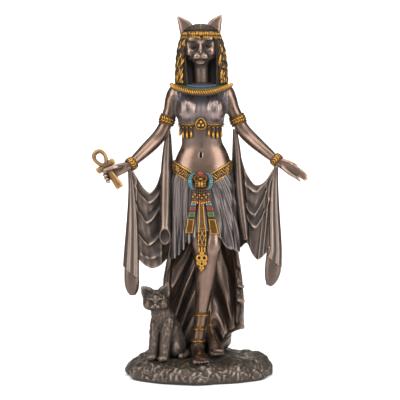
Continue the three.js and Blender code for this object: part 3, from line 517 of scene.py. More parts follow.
# the closed right hand, its thumb before the looped cross and its fingers behind it
CROSS_MIDDLE = np.array((-69, -16.6, 144))
CROSS_THICKNESS = 2.8
FINGER = 1.7  # from the cross's face to the middle of a finger
before = CROSS_MIDDLE[1] - CROSS_THICKNESS / 2 - FINGER
behind = CROSS_MIDDLE[1] + CROSS_THICKNESS / 2 + FINGER
body.limb([(-50.6, -10, 145, 2.4, 2.9), (-56, -12, 142.6, 2.2, 4), (-60.6, -13.2, 141, 2, 4.6),
           (-63.4, behind, 140, 1.6, 4.4)], 1.2, FORWARDS)
body.limb([(-57, -13.6, 143.4, 1.8), (-61.4, before + 1.6, 143.4, 1.6), (-65.6, before, 142.4, 1.5),
           (-69.6, before, 141.2, 1.2)], 0.6)
for level, tip in ((142.8, -70), (140.2, -69.4), (137.8, -68.6), (135.6, -67.4)):
    body.limb([(-61.6, behind, level + 0.6, 1.5), (-66, behind, level - 0.4, 1.35),
               (tip, behind, level - 2, 1.1)], 0.4)
    body.limb([(tip, behind, level - 2, 1.15), (tip - 0.6, before + 2, level - 3, 1.1),
               (tip + 1.2, before + 0.6, level - 3.2, 1)], 0.4)

# The bodice is thin pleated cloth over the breasts, part of the same casting, so it is the body's own
# skin pushed out in creases that fall from the shoulders, in the greyer finish of the cloth.
bodice_finish = finish("sheer bronze cloth", (0.2, 0.152, 0.14), (0.47, 0.38, 0.35),
                       (0.055, 0.056, 0.075), 0.7, 0.7, 2600.0, 0.1, 0.35)
SHOULDER_LEVEL = 200
FAR_ASIDE = 30  # an x past her side, where the bodice's edge is as level as it is behind her


def bust_edge(x, y):
    """Height of the bodice's edge: arched between the breasts in front, and level behind her."""
    x = np.where(y < 0, x, FAR_ASIDE)
    return 174.4 + 4.2 * bell(x - 0.6, 3.6) - 0.4 * bell(np.abs(x - 0.8) - 9.5, 5)


body_points, body_faces = body.cast()
x, y, z = body_points.T
at_height = (z > bust_edge(x, y)) & (z < SHOULDER_LEVEL)
dressed = at_height & (np.abs(x - 1) < 19.5 + 0.05 * (190 - z)) & (y < 12)
wave = x * 1.9 + 1.3 * np.sin(0.33 * z + 0.5 * x) + 0.8 * np.sin(0.21 * z)
creases = np.maximum(0, np.cos(wave)) ** 1.5 + 0.6 * np.maximum(0, np.cos(2.3 * wave + 0.3 * z)) ** 2
covered = rise(np.abs(x - 0.8), 2, 4.4) + rise(y, 0, 2)
lift = 0.25 + (0.1 + 0.5 * rise(z, 185, 194)) * creases * np.clip(covered, 0, 1)
away = np.stack([(x - 1) / 2, y - 3, 0 * z], -1)
away /= np.linalg.norm(away, axis=1)[:, None]
body_points = body_points + (dressed * lift)[:, None] * away
in_cloth = dressed[body_faces].mean(1) > 0.5
piece("body", [(body_points, body_faces, in_cloth)], [skin_finish, bodice_finish], keep=0.42, reach=3)


# The skirt hangs from under the belt, cast as thick cloth in a greyer bronze. It is finely pleated, cut
# away in front, and doubled over itself in steps before her right leg.
BELT_LEVEL = 143.4
BELT_DIP = 13
SKIRT = [(2, 0.8, 22, 12.6), (2.1, 0.8, 23.6, 13.8), (2.4, 0.4, 24.2, 15), (2.8, 0, 24.8, 16.2),
         (3.2, -0.4, 25.4, 17), (3.4, -0.8, 25.8, 17.4)]
skirt_finish = finish("slate bronze cloth", (0.1, 0.083, 0.08), (0.34, 0.28, 0.255), (0.034, 0.031, 0.034),
                      0.9, 0.7, 1600.0, 0.25, 0.38)


def belt_level(turn):
    """Height of the belt's middle line: level behind her and a shallow V in front."""
    in_front = 1 - np.sqrt(0.01 + 0.99 * np.cos(turn) ** 2)
    return BELT_LEVEL - BELT_DIP * np.where(np.sin(turn) < 0, in_front, 0)


# height of the hem at turns to her left of straight ahead
HEM = ((-3.2, 75), (-1.6, 75), (-1.07, 75.4), (-0.87, 79), (-0.56, 86), (-0.43, 89.6), (-0.25, 95),
       (0, 96.5), (0.19, 95.4), (0.34, 93.4), (0.54, 88), (0.83, 82.7), (1.35, 80), (2, 77), (3.2, 75))


def skirt_ring(down, inset, lift):
    """One ring of the skirt, down from 0 at the belt to 1 at the hem."""
    turn = np.linspace(0, 2 * np.pi, 640, endpoint=False)
    x, y, wide, deep = along(SKIRT, down)
    side = (turn + np.pi / 2 + np.pi) % (2 * np.pi) - np.pi  # 0 in front, and more to her left
    # the pleats fan out from the clasp on her left and fall straight on her right
    fan = np.where(side > 0, 1 / (0.42 + 0.58 * down**0.8), 1 / (0.86 + 0.14 * down))
    label = side * (1 + (fan - 1) * (1 - rise(np.abs(side), 0.9, 2.2)))
    pleats = np.maximum(0, np.cos(21 * label + 1.2 * np.sin(3 * label + 2 * down))) ** 2.5
    fine = np.maximum(0, np.cos(57 * label + 2 * np.sin(4 * down) + 1.5 * np.sin(5 * label))) ** 3
    fine = fine * (0.6 + 0.4 * np.sin(9 * label + 3 * down))
    folds = 0.75 * rise(down, 0, 0.4) * np.cos(12 * turn + 1.5 * down)
    out = folds + rise(down, 0, 0.15) * (0.7 * pleats + 0.36 * fine - 0.4) - inset
    # towards the hem in front of her right leg the cloth doubles over itself in a stepped cascade
    cascade = rise(-side, 0.16, 0.3) * rise(side, -1.3, -1.1) * rise(down, 0.4, 1)
    step = (-side * 5.6) % 1
    step = step - rise(step, 0.86, 1)
    out = out * (1 - 0.6 * cascade) + cascade * (3 * step - 1.2)
    shift = -0.07 * cascade * np.sin(2 * np.pi * step)
    corner = bell(side - 0.5, 0.3) * rise(down, 0.6, 1)
    out = out + 1.6 * corner * np.cos(13 * side + 0.4)
    hem = np.interp(side, *np.transpose(HEM)) + 0.5 * np.cos(12 * turn) + 3.2 * cascade * (0.5 - step)
    level = belt_level(turn) - 1 + (hem - belt_level(turn) + 1) * down + lift
    turn = turn + shift
    return np.stack([x + (wide + out) * np.cos(turn), y + (deep + out) * np.sin(turn), level], -1)


skirt_rings = [skirt_ring(down, 0, 0) for down in np.linspace(0, 1, 56)]
# the hem turns in and up behind itself, as thick cast cloth does
HEM_TURN = ((0.7, -0.1), (1.4, 0.2), (2.4, 2), (3.2, 5), (3.4, 9))
skirt_rings += [skirt_ring(1, inset, lift) for inset, lift in HEM_TURN]
piece("skirt", [skin(skirt_rings)], [skirt_finish])


# The train hangs from under the skirt behind her and stands on the rock, cast thick and hollow in
# front like a half tube. It is darker and browner than the skirt, and polished on its folds.
train_finish = finish("dark bronze cloth", (0.088, 0.061, 0.048), (0.31, 0.225, 0.18),
                      (0.012, 0.008, 0.006), 0.8, 0.5, 2600.0, 0.12, 0.36)
TRAIN_TOP = [(-17, -2, 116), (-17, 6, 116), (-10, 11.6, 116), (0, 13.2, 116), (11, 12.6, 116),
             (17.4, 9.6, 116), (21, 6, 116), (23, 1, 116), (22, -3, 116)]
TRAIN_KNEE = [(-24.4, -3.6, 58), (-26.3, 8, 58), (-18, 18, 58), (-3, 21.6, 58), (10, 21.6, 58),
              (20, 18, 58), (27, 14, 58), (31, 8, 58), (30, 0, 58)]
TRAIN_HEM = [(-25, -3, -3), (-27.4, 8, -3), (-20, 21, -3), (-5, 26, -3), (9, 25.6, -3), (18.4, 21, -1),
             (25, 16, 15), (34, 9, 20), (30.4, -1, 25)]
TRAIN_INNER = [(-21.5, -2.7), (-19, 2), (-11, 5), (-2, 6.4), (6, 7), (14, 7.4), (20, 6), (26, 3), (28, 0)]
FOLD_LEVEL = 71  # height where the deep folds are in their middle place; they sweep aside below it


def train_rings():
    """Rings down the train: along its outer face to her left, and back along its inner face."""
    across = np.linspace(0, 1, 220)
    rings = []
    for down in np.linspace(0, 1, 96):
        top, knee, hem = (along(table, across) for table in (TRAIN_TOP, TRAIN_KNEE, TRAIN_HEM))
        outer = top + (knee - top) * down * 2 if down < 0.5 else knee + (hem - knee) * (down * 2 - 1)
        wave = 2 * np.pi * 7 * across + 1.2 * down
        fine = 2 * np.pi * 17 * across + 2.5 * np.sin(3 * down + 6 * across)
        fold = (0.5 + 1.7 * down) * np.cos(wave) + (0.2 + 0.6 * down) * np.abs(np.cos(fine / 2))
        fold = fold * (1 - 0.8 * rise(across, 0.68, 0.8) * rise(down, 0.7, 0.95))
        away = outer * (1, 1, 0) - (2, 0, 0)
        away /= np.linalg.norm(away, axis=1)[:, None]
        outer = outer + away * fold[:, None]
        inner = along(TRAIN_INNER, across)
        ends = (TRAIN_INNER[0][0], TRAIN_INNER[-1][0])
        inner[:, 0] = np.interp(inner[:, 0], ends, (outer[0, 0] + 2.5, outer[-1, 0] - 3.5))
        # the folds sweep out to her right as they fall, and to her left only near the ground
        fallen = np.clip((FOLD_LEVEL - outer[:, 2]) / FOLD_LEVEL, -0.6, 1)
        to_left = rise(inner[:, 0], -12, 14)
        shift = to_left * (5 * fallen + 14 * fallen**3) - (1 - to_left) * 29 * fallen
        label = (inner[:, 0] - shift) / 9.5 + 0.3 * np.sin(3 * fallen + 0.16 * inner[:, 0])
        ridge = np.abs(np.sin(np.pi * label)) ** 0.9
        lesser = np.sin(np.pi * (4 * label + 0.8 * np.sin(5 * fallen)))
        deep = (2.2 + 3.2 * rise(fallen, -0.4, 0.6)) * (0.55 - ridge) - 0.4 * lesser * ridge
        deep = deep * (1 - rise(across, 0.92, 0.98)) * (1 - rise(-across, -0.05, -0.01))
        deep = deep * (1 - 0.8 * rise(across, 0.68, 0.8) * rise(down, 0.75, 0.95))
        inner = np.stack([inner[:, 0], inner[:, 1] + deep + 1.4 * down, outer[:, 2]], -1)
        rings.append(np.concatenate([outer, rolled_edge(outer[-1], inner[-1], down), inner[::-1],
                                     rolled_edge(inner[0], outer[0], down)]))
    return rings


def rolled_edge(start, end, down):
    """Points round the thick edge of the train, which is gathered in uneven lumps towards its foot."""
    t = np.linspace(0, np.pi, 12)[1:-1, None]
    side = np.sign(start[0])
    bend = 24 * down + 1.6 * np.sin(9 * down + side)
    gathered = rise(down, 0.3, 0.5) * (1 - rise(down, 0.95, 1))
    lump = (np.sin(bend) + 0.5 * np.sin(2.3 * bend + 1)) * gathered
    wave = (np.cos(bend) + 0.4 * np.cos(2.3 * bend)) * gathered
    flat = start + (end - start) * (1 - np.cos(t)) / 2
    bulge = (1.3 + 1.1 * lump) * np.sin(t) * (0.8 * side, -1, 0)
    return flat + bulge + 1.1 * wave * np.sin(2 * t) * (side, 0.5, 0)


piece("train", [skin(train_rings())], [train_finish], reach=2)


# The shawl over each arm, cast with it: a sheet that sags in swags from hip to wrist, a rolled fold
# that hangs open-ended from the upper arm, and a long tail that falls from the wrist.
SHAWLS = {
    "right": {
        "top": [(-21.6, 6, 168), (-26.4, 5, 152), (-29.4, 4, 139), (-32.6, 2, 129), (-37.4, -1, 123.8),
                (-42, -4, 127.6), (-46.4, -7.4, 135), (-50.4, -10, 142)],
        "hem": [(-16, 10, 81), (-19, 9, 77), (-24.4, 6, 73.6), (-30, 3, 68.4), (-35.6, 0, 66.8),
                (-40, -3, 68.8), (-44, -6, 72.4), (-48, -8, 78)],
        # each swag: x and z of its lowest point, its slope up to each side and how far it stands out
        "swags": [(-37.4, 116.4, 1.5, 1.3, 1.8), (-38.8, 101.6, 2.2, 1.5, 2.2), (-38, 85, 1.7, 1.0, 2.2),
                  (-36.4, 74.6, 0.7, 0.5, 1.6)],
        # each long fold: x of its top and foot, and how far it stands out
        "folds": [(-47, -46.6, 1), (-28, -29, 0.8)],
        "roll": [(-23.6, 4.4, 171, 1.6), (-25, 3.4, 152, 3.2), (-25.3, 0.6, 136, 4.2),
                 (-25.7, -2, 116, 4.2), (-26, -5.4, 91, 4.3)],
        "tail": [(-51.8, -10.4, 143.4, 1.7, 1.8), (-50.8, -10, 130, 2.3, 2.2), (-50.3, -9.6, 117, 3.3, 2.7),
                 (-50.2, -9.2, 101, 4.7, 3.1), (-50.6, -8.8, 85, 5.8, 3.4), (-51.2, -8.5, 65, 6.5, 3.4)],
        # each long ridge of the tail: where round it, and its height as a share of the tail's width
        "ridges": ((1.85, 0.3), (1.42, -0.2), (1, 0.38)),
        "tongue": [(-51, -8.4, 76, 4.6, 2.2), (-50.9, -8.2, 66, 5.2, 2.3), (-50.6, -8.1, 57, 5.4, 2.2),
                   (-50.2, -8.1, 51, 4.2, 1.9), (-50.1, -8.1, 47.6, 2, 1.3)],
        # slopes of the tail's foot to the side and of the roll's foot to the front
        "slant": -0.75,
        "mouth": -1.5,
    },
    "left": {
        "top": [(24.6, 6, 170), (28.6, 5, 160), (31.4, 4, 148), (34.6, 1.4, 138.6), (39.6, -1.8, 130.8),
                (44, -4, 129.6), (48.6, -6.6, 133), (54, -9.8, 141.6)],
        "hem": [(22, 10, 84), (27, 8, 80.6), (31, 6, 82), (35.2, 3, 85.4), (38.6, 0.4, 78.4),
                (43, -2.4, 73.6), (48, -5, 77.6), (52.6, -7.6, 83)],
        "swags": [(41, 124.6, 1.6, 1, 1.8), (39.8, 107.2, 2.6, 1.9, 2.4), (40.4, 98, 2.4, 2.2, 1.8)],
        "folds": [(30, 35.4, 1.6), (33, 37.6, 1), (52, 46.6, 1.2), (49.4, 43.4, 1)],
        "roll": [(26, 4.4, 171, 1.6), (28.2, 3.4, 152, 2.5), (29.6, 0.4, 126, 3.2), (32.2, -2.4, 103, 3),
                 (34.2, -4, 89, 1.9)],
        "tail": [(56.2, -10.4, 144.4, 1.7, 1.8), (55.2, -10, 131, 2.8, 2.4), (55, -9.6, 111.6, 4.1, 3),
                 (55.7, -9.2, 92.6, 4.8, 3.3), (56, -8.8, 81, 5.2, 3.4), (55.2, -8.6, 73, 6, 3.2)],
        "ridges": ((2.15, 0.4), (1.7, -0.2), (1.25, 0.3)),
        "tongue": [(54, -8.4, 84, 4, 2.1), (54.2, -8.3, 74, 5.4, 2.2), (54, -8.2, 66, 5.9, 2.1),
                   (52.6, -8.2, 59, 4.4, 1.8), (50.9, -8.2, 54.8, 1.9, 1.1)],
        "slant": -0.72,
        "mouth": 0,
    },
}
shawl_finish = finish("brown bronze cloth", (0.12, 0.088, 0.072), (0.4, 0.3, 0.24), (0.03, 0.025, 0.024),
                      0.9, 0.8, 1600.0, 0.25, 0.35)


def sweep(path, wide, deep=None, side=SIDEWAYS, sides=12, plies=0, pitch=4.0, groove=0.3, swell=None,
          joined=False):
    """Rings square to a path. With plies it is laid as a rope, each turn of it a pitch long."""
    path = np.asarray(path, float)
    line = np.gradient(path, axis=0)
    if joined:
        line = np.roll(path, -1, axis=0) - np.roll(path, 1, axis=0)
    steps = np.linalg.norm(np.diff(path, axis=0, append=path[:1]), axis=1)
    length = np.concatenate([[0], np.cumsum(steps)])
    if joined and plies:
        pitch = length[-1] / round(length[-1] / pitch)
    line /= np.linalg.norm(line, axis=1)[:, None]
    side = np.broadcast_to(np.asarray(side, float), path.shape)
    across = side - line * (side * line).sum(1)[:, None]
    across /= np.linalg.norm(across, axis=1)[:, None]
    fore = np.cross(line, across)
    turn = np.linspace(0, 2 * np.pi, sides, endpoint=False)[None]
    if swell is None:
        swell = np.ones((len(path), sides))
    if plies:
        twist = turn - 2 * np.pi * length[:-1, None] / pitch
        swell = swell * (1 - groove * (1 - np.abs(np.cos(plies / 2 * twist))))
    wide = np.broadcast_to(wide, len(path))[:, None] * swell
    deep = wide if deep is None else np.broadcast_to(deep, len(path))[:, None] * swell
    return path[:, None] + (wide * np.cos(turn))[..., None] * across[:, None] \
        + (deep * np.sin(turn))[..., None] * fore[:, None]


def hanging_roll(table, swell, slant=0.0, mouth=0.0, bore=0.0, sides=48, count=90):
    """A hanging fold of cloth. Its foot slants to the side or the front, and may have a bore up inside."""
    table = np.array([row if len(row) == 5 else (*row, row[3]) for row in table], float)
    t = np.linspace(0, 1, count)
    rows = along(table, t)
    turn = np.linspace(0, 2 * np.pi, sides, endpoint=False)
    rings = sweep(rows[:, :3], rows[:, 3], rows[:, 4], sides=sides, swell=swell(t[:, None], turn[None]))
    offset = rings - rows[:, None, :3]
    rings[..., 2] += rise(t, 0.75, 1)[:, None] * (slant * offset[..., 0] + mouth * offset[..., 1])
    if bore:
        middle = rings[-1].mean(0)
        turn_in = ((0.96, -0.4), (bore, -0.3), (bore * 0.94, 0.5), (bore * 0.9, 5), (bore * 0.7, 12))
        back = [middle + (rings[-1] - middle) * share + (0, 0, depth) for share, depth in turn_in]
        rings = np.concatenate([rings, back])
    return skin(rings)


def shawl_sheet(cut):
    """Rings down the sheet, each across its front face and back behind."""
    t = np.linspace(0, 1, 120)[:, None]
    s = np.linspace(0, 1, 80)[None]
    start, end = along(cut["top"], s[0])[None], along(cut["hem"], s[0])[None]
    points = start + (end - start) * t[..., None]
    x, z = points[..., 0], points[..., 2]
    depth = 0.12 * np.cos(2 * np.pi * (7 * s + 1.6 * t))
    for low_x, low_z, slope_out, slope_in, stand in cut["swags"]:
        off = x - low_x
        slope = np.where(off * low_x > 0, slope_out, slope_in)
        above = z - low_z - slope * (np.sqrt(off * off + 9) - 3)
        fade = 0.7 * bell(off, 12)
        depth = depth + stand * fade * (bell(above, 2) - 0.7 * bell(above - 4, 2.6))
    for top_x, foot_x, stand in cut["folds"]:
        depth = depth + stand * bell(x - (top_x + (foot_x - top_x) * t), 1.1) * rise(t, 0, 0.1)
    points[..., 1] -= depth * rise(t, 0, 0.04)
    half = np.array((0, 1.15, 0))
    edge = np.where((t == 0) | (t == 1), 0.25, 1)[..., None]
    return skin(np.concatenate([points - half * edge, (points + half * edge)[:, ::-1]], axis=1))


def roll_swell(t, turn):
    return 1 + 0.04 * np.cos(2 * turn + 2 * t + 1) * (1 - t)


def tongue_swell(t, turn):
    return 1 + 0.02 * np.cos(6 * turn) + 0 * t


for side, cut in SHAWLS.items():
    def tail_swell(t, turn):
        swell = 0.92 + 0 * t * turn
        for middle, height in cut["ridges"]:
            swell = swell + height * bell(turn - middle, 0.27) * rise(t, 0.02, 0.3)
        return swell

    parts = [shawl_sheet(cut), hanging_roll(cut["roll"], roll_swell, mouth=cut["mouth"], bore=0.78),
             hanging_roll(cut["tail"], tail_swell, slant=cut["slant"], bore=0.85),
             hanging_roll(cut["tongue"], tongue_swell)]
    piece(side + "_shawl", parts, [shawl_finish], reach=2)


# Her head, cast with the body: a calm cat's face with slanted dark eyes, a narrow nose and round
# whisker pads, and two tall ears that stand up through the wig.
FACE = 0.4  # the face's middle across
EYE = {-1: (-4.9, 231.2), 1: (6.0, 232.2)}
head = Clay((-21, -22, 198), (21, 15, 258), 0.33)
head.egg((FACE, -0.4, 232), (11, 12, 13.4), 1)
head.egg((FACE, -8.4, 224.4), (6.4, 6.4, 6.2), 3)
head.limb([(1.2, 1.6, 199, 6.4), (1, 0.6, 208, 5.4), (0.7, -0.4, 220, 5.4)], 3)
for side in (-1, 1):
    x, eye = EYE[side]
    head.egg((FACE + 8 * side, -5.2, 230.5), (3.9, 5.6, 8), 3)
    head.egg((FACE + 7.2 * side, -9.2, 227.6 + 0.4 * side), (3, 2.8, 2.8), 2)
    head.egg((FACE + 5.6 * side, -10.8, 236.8 + 0.3 * side), (4, 2.5, 1.8), 1.6)
    head.egg((x, -13.8, eye), (2.6, 3.4, 1.9), 2, cut=True)
    head.limb([(x - 2 * side, -13, eye - 0.6, 0.5), (x - 3.4 * side, -13.6, eye - 1.4, 0.3)], 0.8, cut=True)
    head.limb([(x + 2 * side, -12, eye + 0.8, 0.5), (x + 3.8 * side, -10.6, eye + 2, 0.3)], 0.8, cut=True)
    head.egg((x, -9.6, eye), (2.4, 2.2, 1.8), 0.4)
    head.egg((FACE + 2.6 * side, -14.2, 223.9), (3.6, 3.9, 2.9), 1.6)
head.egg((FACE, -11, 219.8), (3.6, 3.4, 2.6), 1.8)
head.limb([(FACE, -9.8, 239, 3, 2), (FACE, -12.4, 233, 2.2, 2), (FACE, -15.2, 228.4, 2.2, 2)], 2.4)
head.egg((FACE, -16.8, 227), (2.2, 1.6, 1.4), 0.6)
head.limb([(FACE, -18.9, 225.4, 0.4), (FACE, -18.3, 221.8, 0.4)], 0.8, cut=True)
for side in (-1, 1):
    head.egg((FACE + 1.35 * side, -18.3, 226.9), (0.9, 1.7, 0.75), 0.15, cut=True)
    head.limb([(FACE, -17.6, 221.6, 0.45), (FACE + 3.4 * side, -16.6, 220.6, 0.45),
               (FACE + 5.8 * side, -13, 222, 0.4)], 0.5, cut=True)


def ear(rows, side):
    head.limb([(x, 0.4, z, wide, wide * 0.5) for x, z, wide in rows], 1.2, count=16)
    scoop = [(x - 0.2 * side, -4 + 0.03 * (z - 241), z - 1, wide * 0.6, wide * 0.2) for x, z, wide in rows]
    head.limb(scoop, 3, count=16, cut=True)


ear([(-8.4, 241, 6.2), (-10.9, 246.8, 5), (-14.2, 251, 2.7), (-16.3, 253.8, 1)], -1)
ear([(8.6, 241, 6.2), (10.8, 247.3, 5.2), (13.8, 252, 2.8), (15.8, 254.9, 1)], 1)


def bead(middle, radii, sides=14, rows=9):
    """A rounded lump with three radii, cut off a hair short of its poles."""
    tilt = np.linspace(0.12, np.pi - 0.12, rows)[:, None]
    turn = np.linspace(0, 2 * np.pi, sides, endpoint=False)[None]
    level = np.sin(tilt)
    shape = np.stack([level * np.cos(turn), level * np.sin(turn), np.cos(tilt) + 0 * turn], -1)
    return skin(np.array(middle) + shape * radii)


eye_finish = finish("dark glossy eye", (0.02, 0.012, 0.009), (0.07, 0.045, 0.032), (0.008, 0.005, 0.004),
                    0.8, 0.6, 2600.0, 0.02, 0.12)
eyes = [bead((x, -11.2, eye), (1.8, 1.1, 1.4), 20, 13) for x, eye in EYE.values()]
face_finish = finish("bronze face", (0.17, 0.115, 0.09), (0.5, 0.37, 0.3), (0.018, 0.011, 0.008),
                     0.9, 0.45, 2200.0, 0.06, 0.3)
piece("head", [head.cast()] + [(*eye, 1) for eye in eyes], [face_finish, eye_finish], keep=0.55, reach=2.2)


# Her wig: a cap of fine combed hair parted in the middle, and below its band a bell of twisted locks.
# Locks are dark, wound here and there with gold, and end in gold wraps beside the face.
# rows down the wig and its opening: height, x and y of the middle, half width and half depth
WIG = [(246, 0.6, 1, 9.6, 10.4), (241, 0.6, 1, 14, 14.6), (232, 0.8, 1.2, 17.2, 16),
       (222, 1, 1.6, 18.7, 15.6), (209, 1.1, 2.2, 19.6, 15), (199, 1.2, 3, 19.4, 14.2)]
WIG_OPENING = [(238.4, 0.6, -14, 9.8, 14), (232, 0.6, -12, 11.4, 13.4), (222, 0.8, -10, 11.2, 12.4),
               (197, 2, -9, 10, 11.2)]
LOCK = 1.35  # half thickness of a lock
LOCK_PITCH = 11
LOCK_SIDES = 12
LOCK_COUNT = 34
wig_rows = along(WIG, np.linspace(0, 1, 200))
hair_finish = finish("dark bronze hair", (0.028, 0.02, 0.016), (0.1, 0.072, 0.06), (0.008, 0.006, 0.005),
                     1.0, 0.7, 2400.0, 0.15, 0.5)
gold_finish = finish("antique gold paint", (0.16, 0.068, 0.011), (0.66, 0.35, 0.07), (0.02, 0.009, 0.003),
                     2.2, 0.9, 2000.0, 0.1, 0.34)


def wig_at(z):
    return [np.interp(-np.asarray(z, float), -wig_rows[:, 0], wig_rows[:, k]) for k in range(1, 5)]


def round_wig(turn, z, inset=0.0):
    """Points on the wig's surface at turns round it and heights."""
    x, y, wide, deep = wig_at(z)
    wide, deep = wide - inset, deep - inset
    return np.stack([x + wide * np.cos(turn), y + deep * np.sin(turn), z + 0 * turn], -1)


cap = Clay((-22, -18, 198), (24, 21, 251), 0.52)
cap.column([(z, x, y, wide - 1.6, deep - 1.6) for z, x, y, wide, deep in WIG[1:]], 0.5)
cap.egg((0.6, 1, 236.4), (15.2, 15.2, 12.2), 0.8)
cap.column(WIG_OPENING, 0.6, cut=True)
cap_points, cap_faces = cap.cast()
x, y, z = cap_points.T
comb = np.abs(np.cos(26 * np.arctan2(np.abs(x - 0.6) + 0.35 * (248 - z), y - 0.5))) + 0.4 * np.cos(1.9 * x)
parting = bell(x - 0.6, 0.5)
combed = rise(z, 238, 240) * (0.3 * comb - 0.5 * parting)
cap_points = cap_points + combed[:, None] * (cap_points - (0.6, 1, 236)) / 14
locks = [(cap_points, cap_faces, 0)]
chance = np.random.default_rng(7)
OPEN = np.radians(51)  # half of the opening in front, measured from straight ahead
lock_turns = np.linspace(-np.pi / 2 + OPEN, 1.5 * np.pi - OPEN, LOCK_COUNT)
for number, turn in enumerate(lock_turns):
    nearness = min(number, LOCK_COUNT - 1 - number)  # how many locks it is from the face
    z = np.linspace(239.6, 203.6 + chance.uniform(-0.6, 0.6), 60)
    sway = 0.02 * np.sin(z / 4 + number)
    path = round_wig(turn + sway, z, 1.0)
    taper = np.clip((z - z[-1]) / 2.5 + 0.45, 0, 1) * (1 + 0.12 * bell(z - 222, 12))
    path = path + 0.25 * chance.normal(size=3)
    outwards = (np.cos(turn), np.sin(turn), 0)
    lock = sweep(path, LOCK * taper, None, outwards, LOCK_SIDES, 2, LOCK_PITCH, groove=0.45)
    points, faces = skin(lock)
    level = points[faces].mean(1)[:, 2]
    length = chance.choice([9, 13, 17, 21]) if nearness < 7 else 3.5
    gold = level < z[-1] + length + chance.uniform(-1, 2)
    if nearness < 6:
        wrap = chance.uniform(222, 236)
        gold |= np.abs(level - wrap) < chance.uniform(2, 5)
    # only one of the two strands is gold, apart from the wrapped end
    round_lock = (np.arange(len(faces)) % LOCK_SIDES) / LOCK_SIDES
    strand = 2 * np.pi * (round_lock + level / LOCK_PITCH) + chance.uniform(0, 6)
    gold &= (np.cos(strand) > -0.3) | (level < z[-1] + 2.5)
    locks.append((points, faces, gold))
t = np.linspace(0.1, 1.35, 40)
parting_line = np.stack([0 * t + 0.6, 1 - 15.3 * np.sin(t), 236.4 + 12.3 * np.cos(t)], -1)
locks.append((*skin(sweep(parting_line, 0.26, sides=8)), 1))
piece("wig", locks, [hair_finish, gold_finish], reach=1.2)


# The band round the brow is cast on the wig: two twisted cords, a dark one and a gold one, over two
# rows of small gold drops that run from temple to temple.
UP = (0, 0, 1)


def closed_rope(path, thick, pitch, sides=10, side=UP, groove=0.3):
    """A two-ply rope laid along a path that closes on itself."""
    rings = sweep(path, thick, side=side, sides=sides, plies=2, pitch=pitch, groove=groove, joined=True)
    return skin(rings, True)


turns = np.linspace(0, 2 * np.pi, 420, endpoint=False)
band = [(*closed_rope(round_wig(turns, 243.4, -0.3), 0.75, 3), 0),
        (*closed_rope(round_wig(turns, 242, -0.35), 0.55, 2), 1)]
for turn in np.radians(np.arange(-174, 0, 5.4)):
    low = 238 - 0.8 * bell(turn + np.pi / 2, 0.2)
    for level, size in ((240.4, 1), (low, 0.85)):
        middle = round_wig(turn + chance.uniform(-0.01, 0.01), level + chance.uniform(-0.3, 0.3), 0.1)
        radii = size * chance.uniform(0.8, 1.1, 3) * (0.62, 0.6, 1.6)
        band.append((*bead(middle, radii, 8, 7), int(chance.uniform() > 0.12)))
piece("brow_band", band, [hair_finish, gold_finish], reach=0.8)


# The broad collar on her shoulders, cast with the body and painted: a maroon band at the neck, then
# blue and olive rows of small bars, and a rim of thick gold braid.
COLLAR = (1, 0.6, 23, 17.2)  # x and y of its middle, half width and half depth
COLLAR_BREADTH = (16.9, 10.6)
maroon_finish = finish("maroon paint", (0.035, 0.006, 0.005), (0.09, 0.02, 0.015), (0.006, 0.002, 0.002),
                       0.9, 0.8, 2000.0, 0.1, 0.35, False)
recess_finish = finish("dark bronze ground", (0.045, 0.028, 0.018), (0.16, 0.1, 0.06), (0.01, 0.006, 0.004),
                       0.9, 0.9, 2400.0, 0.15, 0.45)
blue_finish = finish("blue paint", (0.012, 0.07, 0.14), (0.07, 0.22, 0.34), (0.004, 0.01, 0.025),
                     1.1, 0.9, 2000.0, 0.1, 0.35, False)
olive_finish = finish("olive paint", (0.03, 0.04, 0.01), (0.1, 0.11, 0.03), (0.008, 0.008, 0.004),
                      1.1, 0.8, 2000.0, 0.1, 0.35, False)


def on_collar(turn, out, lift=0.0):
    """A point of the collar, out from 0 at the neck to 1 at its rim."""
    dip = np.where(np.sin(turn) < 0, 6.6, 4) * np.abs(np.sin(turn)) ** 1.6
    wide = COLLAR[2] - COLLAR_BREADTH[0] * (1 - out)
    deep = COLLAR[3] - COLLAR_BREADTH[1] * (1 - out)
    z = 204.6 + lift - dip * out**1.3 - 0.9 * out
    x, y = COLLAR[0] + wide * np.cos(turn), COLLAR[1] + deep * np.sin(turn)
    return np.stack(np.broadcast_arrays(x, y, z), -1)


out = np.linspace(0.02, 0.95, 32)
turns = np.linspace(0, 2 * np.pi, 360, endpoint=False)[:, None]
bars = np.abs(np.sin(42 * turns)) ** 0.5


def raised_row(low, high):
    return rise(out, low, low + 0.03) * rise(-out, -high, 0.03 - high)


barred_rows = 0.7 * raised_row(0.36, 0.54) + 0.6 * raised_row(0.58, 0.74)
lift = 0.9 * raised_row(0.05, 0.3) + barred_rows * (0.45 + 0.55 * bars)
upper = on_collar(turns, out[None], lift)
lower = on_collar(turns, out[None], -2.4)[:, ::-1]
collar_rings = np.concatenate([upper, lower], axis=1)
row_paint = np.select([out < 0.32, (out > 0.35) & (out < 0.55), (out > 0.59) & (out < 0.72)], [1, 2, 3], 4)
collar_paint = np.tile(np.concatenate([row_paint, 0 * row_paint]), 360)
turns = np.linspace(0, 2 * np.pi, 560, endpoint=False)
collar = [(*skin(collar_rings, True), collar_paint)]
for out, thick, pitch in ((0.95, 1.55, 3.4), (0.8, 0.7, 2.4)):
    collar.append((*closed_rope(on_collar(turns, out, 0.1), thick, pitch, sides=14, groove=0.6), 0))
piece("collar", collar, [gold_finish, maroon_finish, blue_finish, olive_finish, recess_finish], reach=1)


# The gold edge of the bodice, cast on: two cords round the ribs that rise to a small drop-shaped
# medallion between the breasts, with a row of long gold drops under each breast.
RIBS = (0.9, 0.9, 16.9, 9.9)  # x and y of the middle, half width and half depth


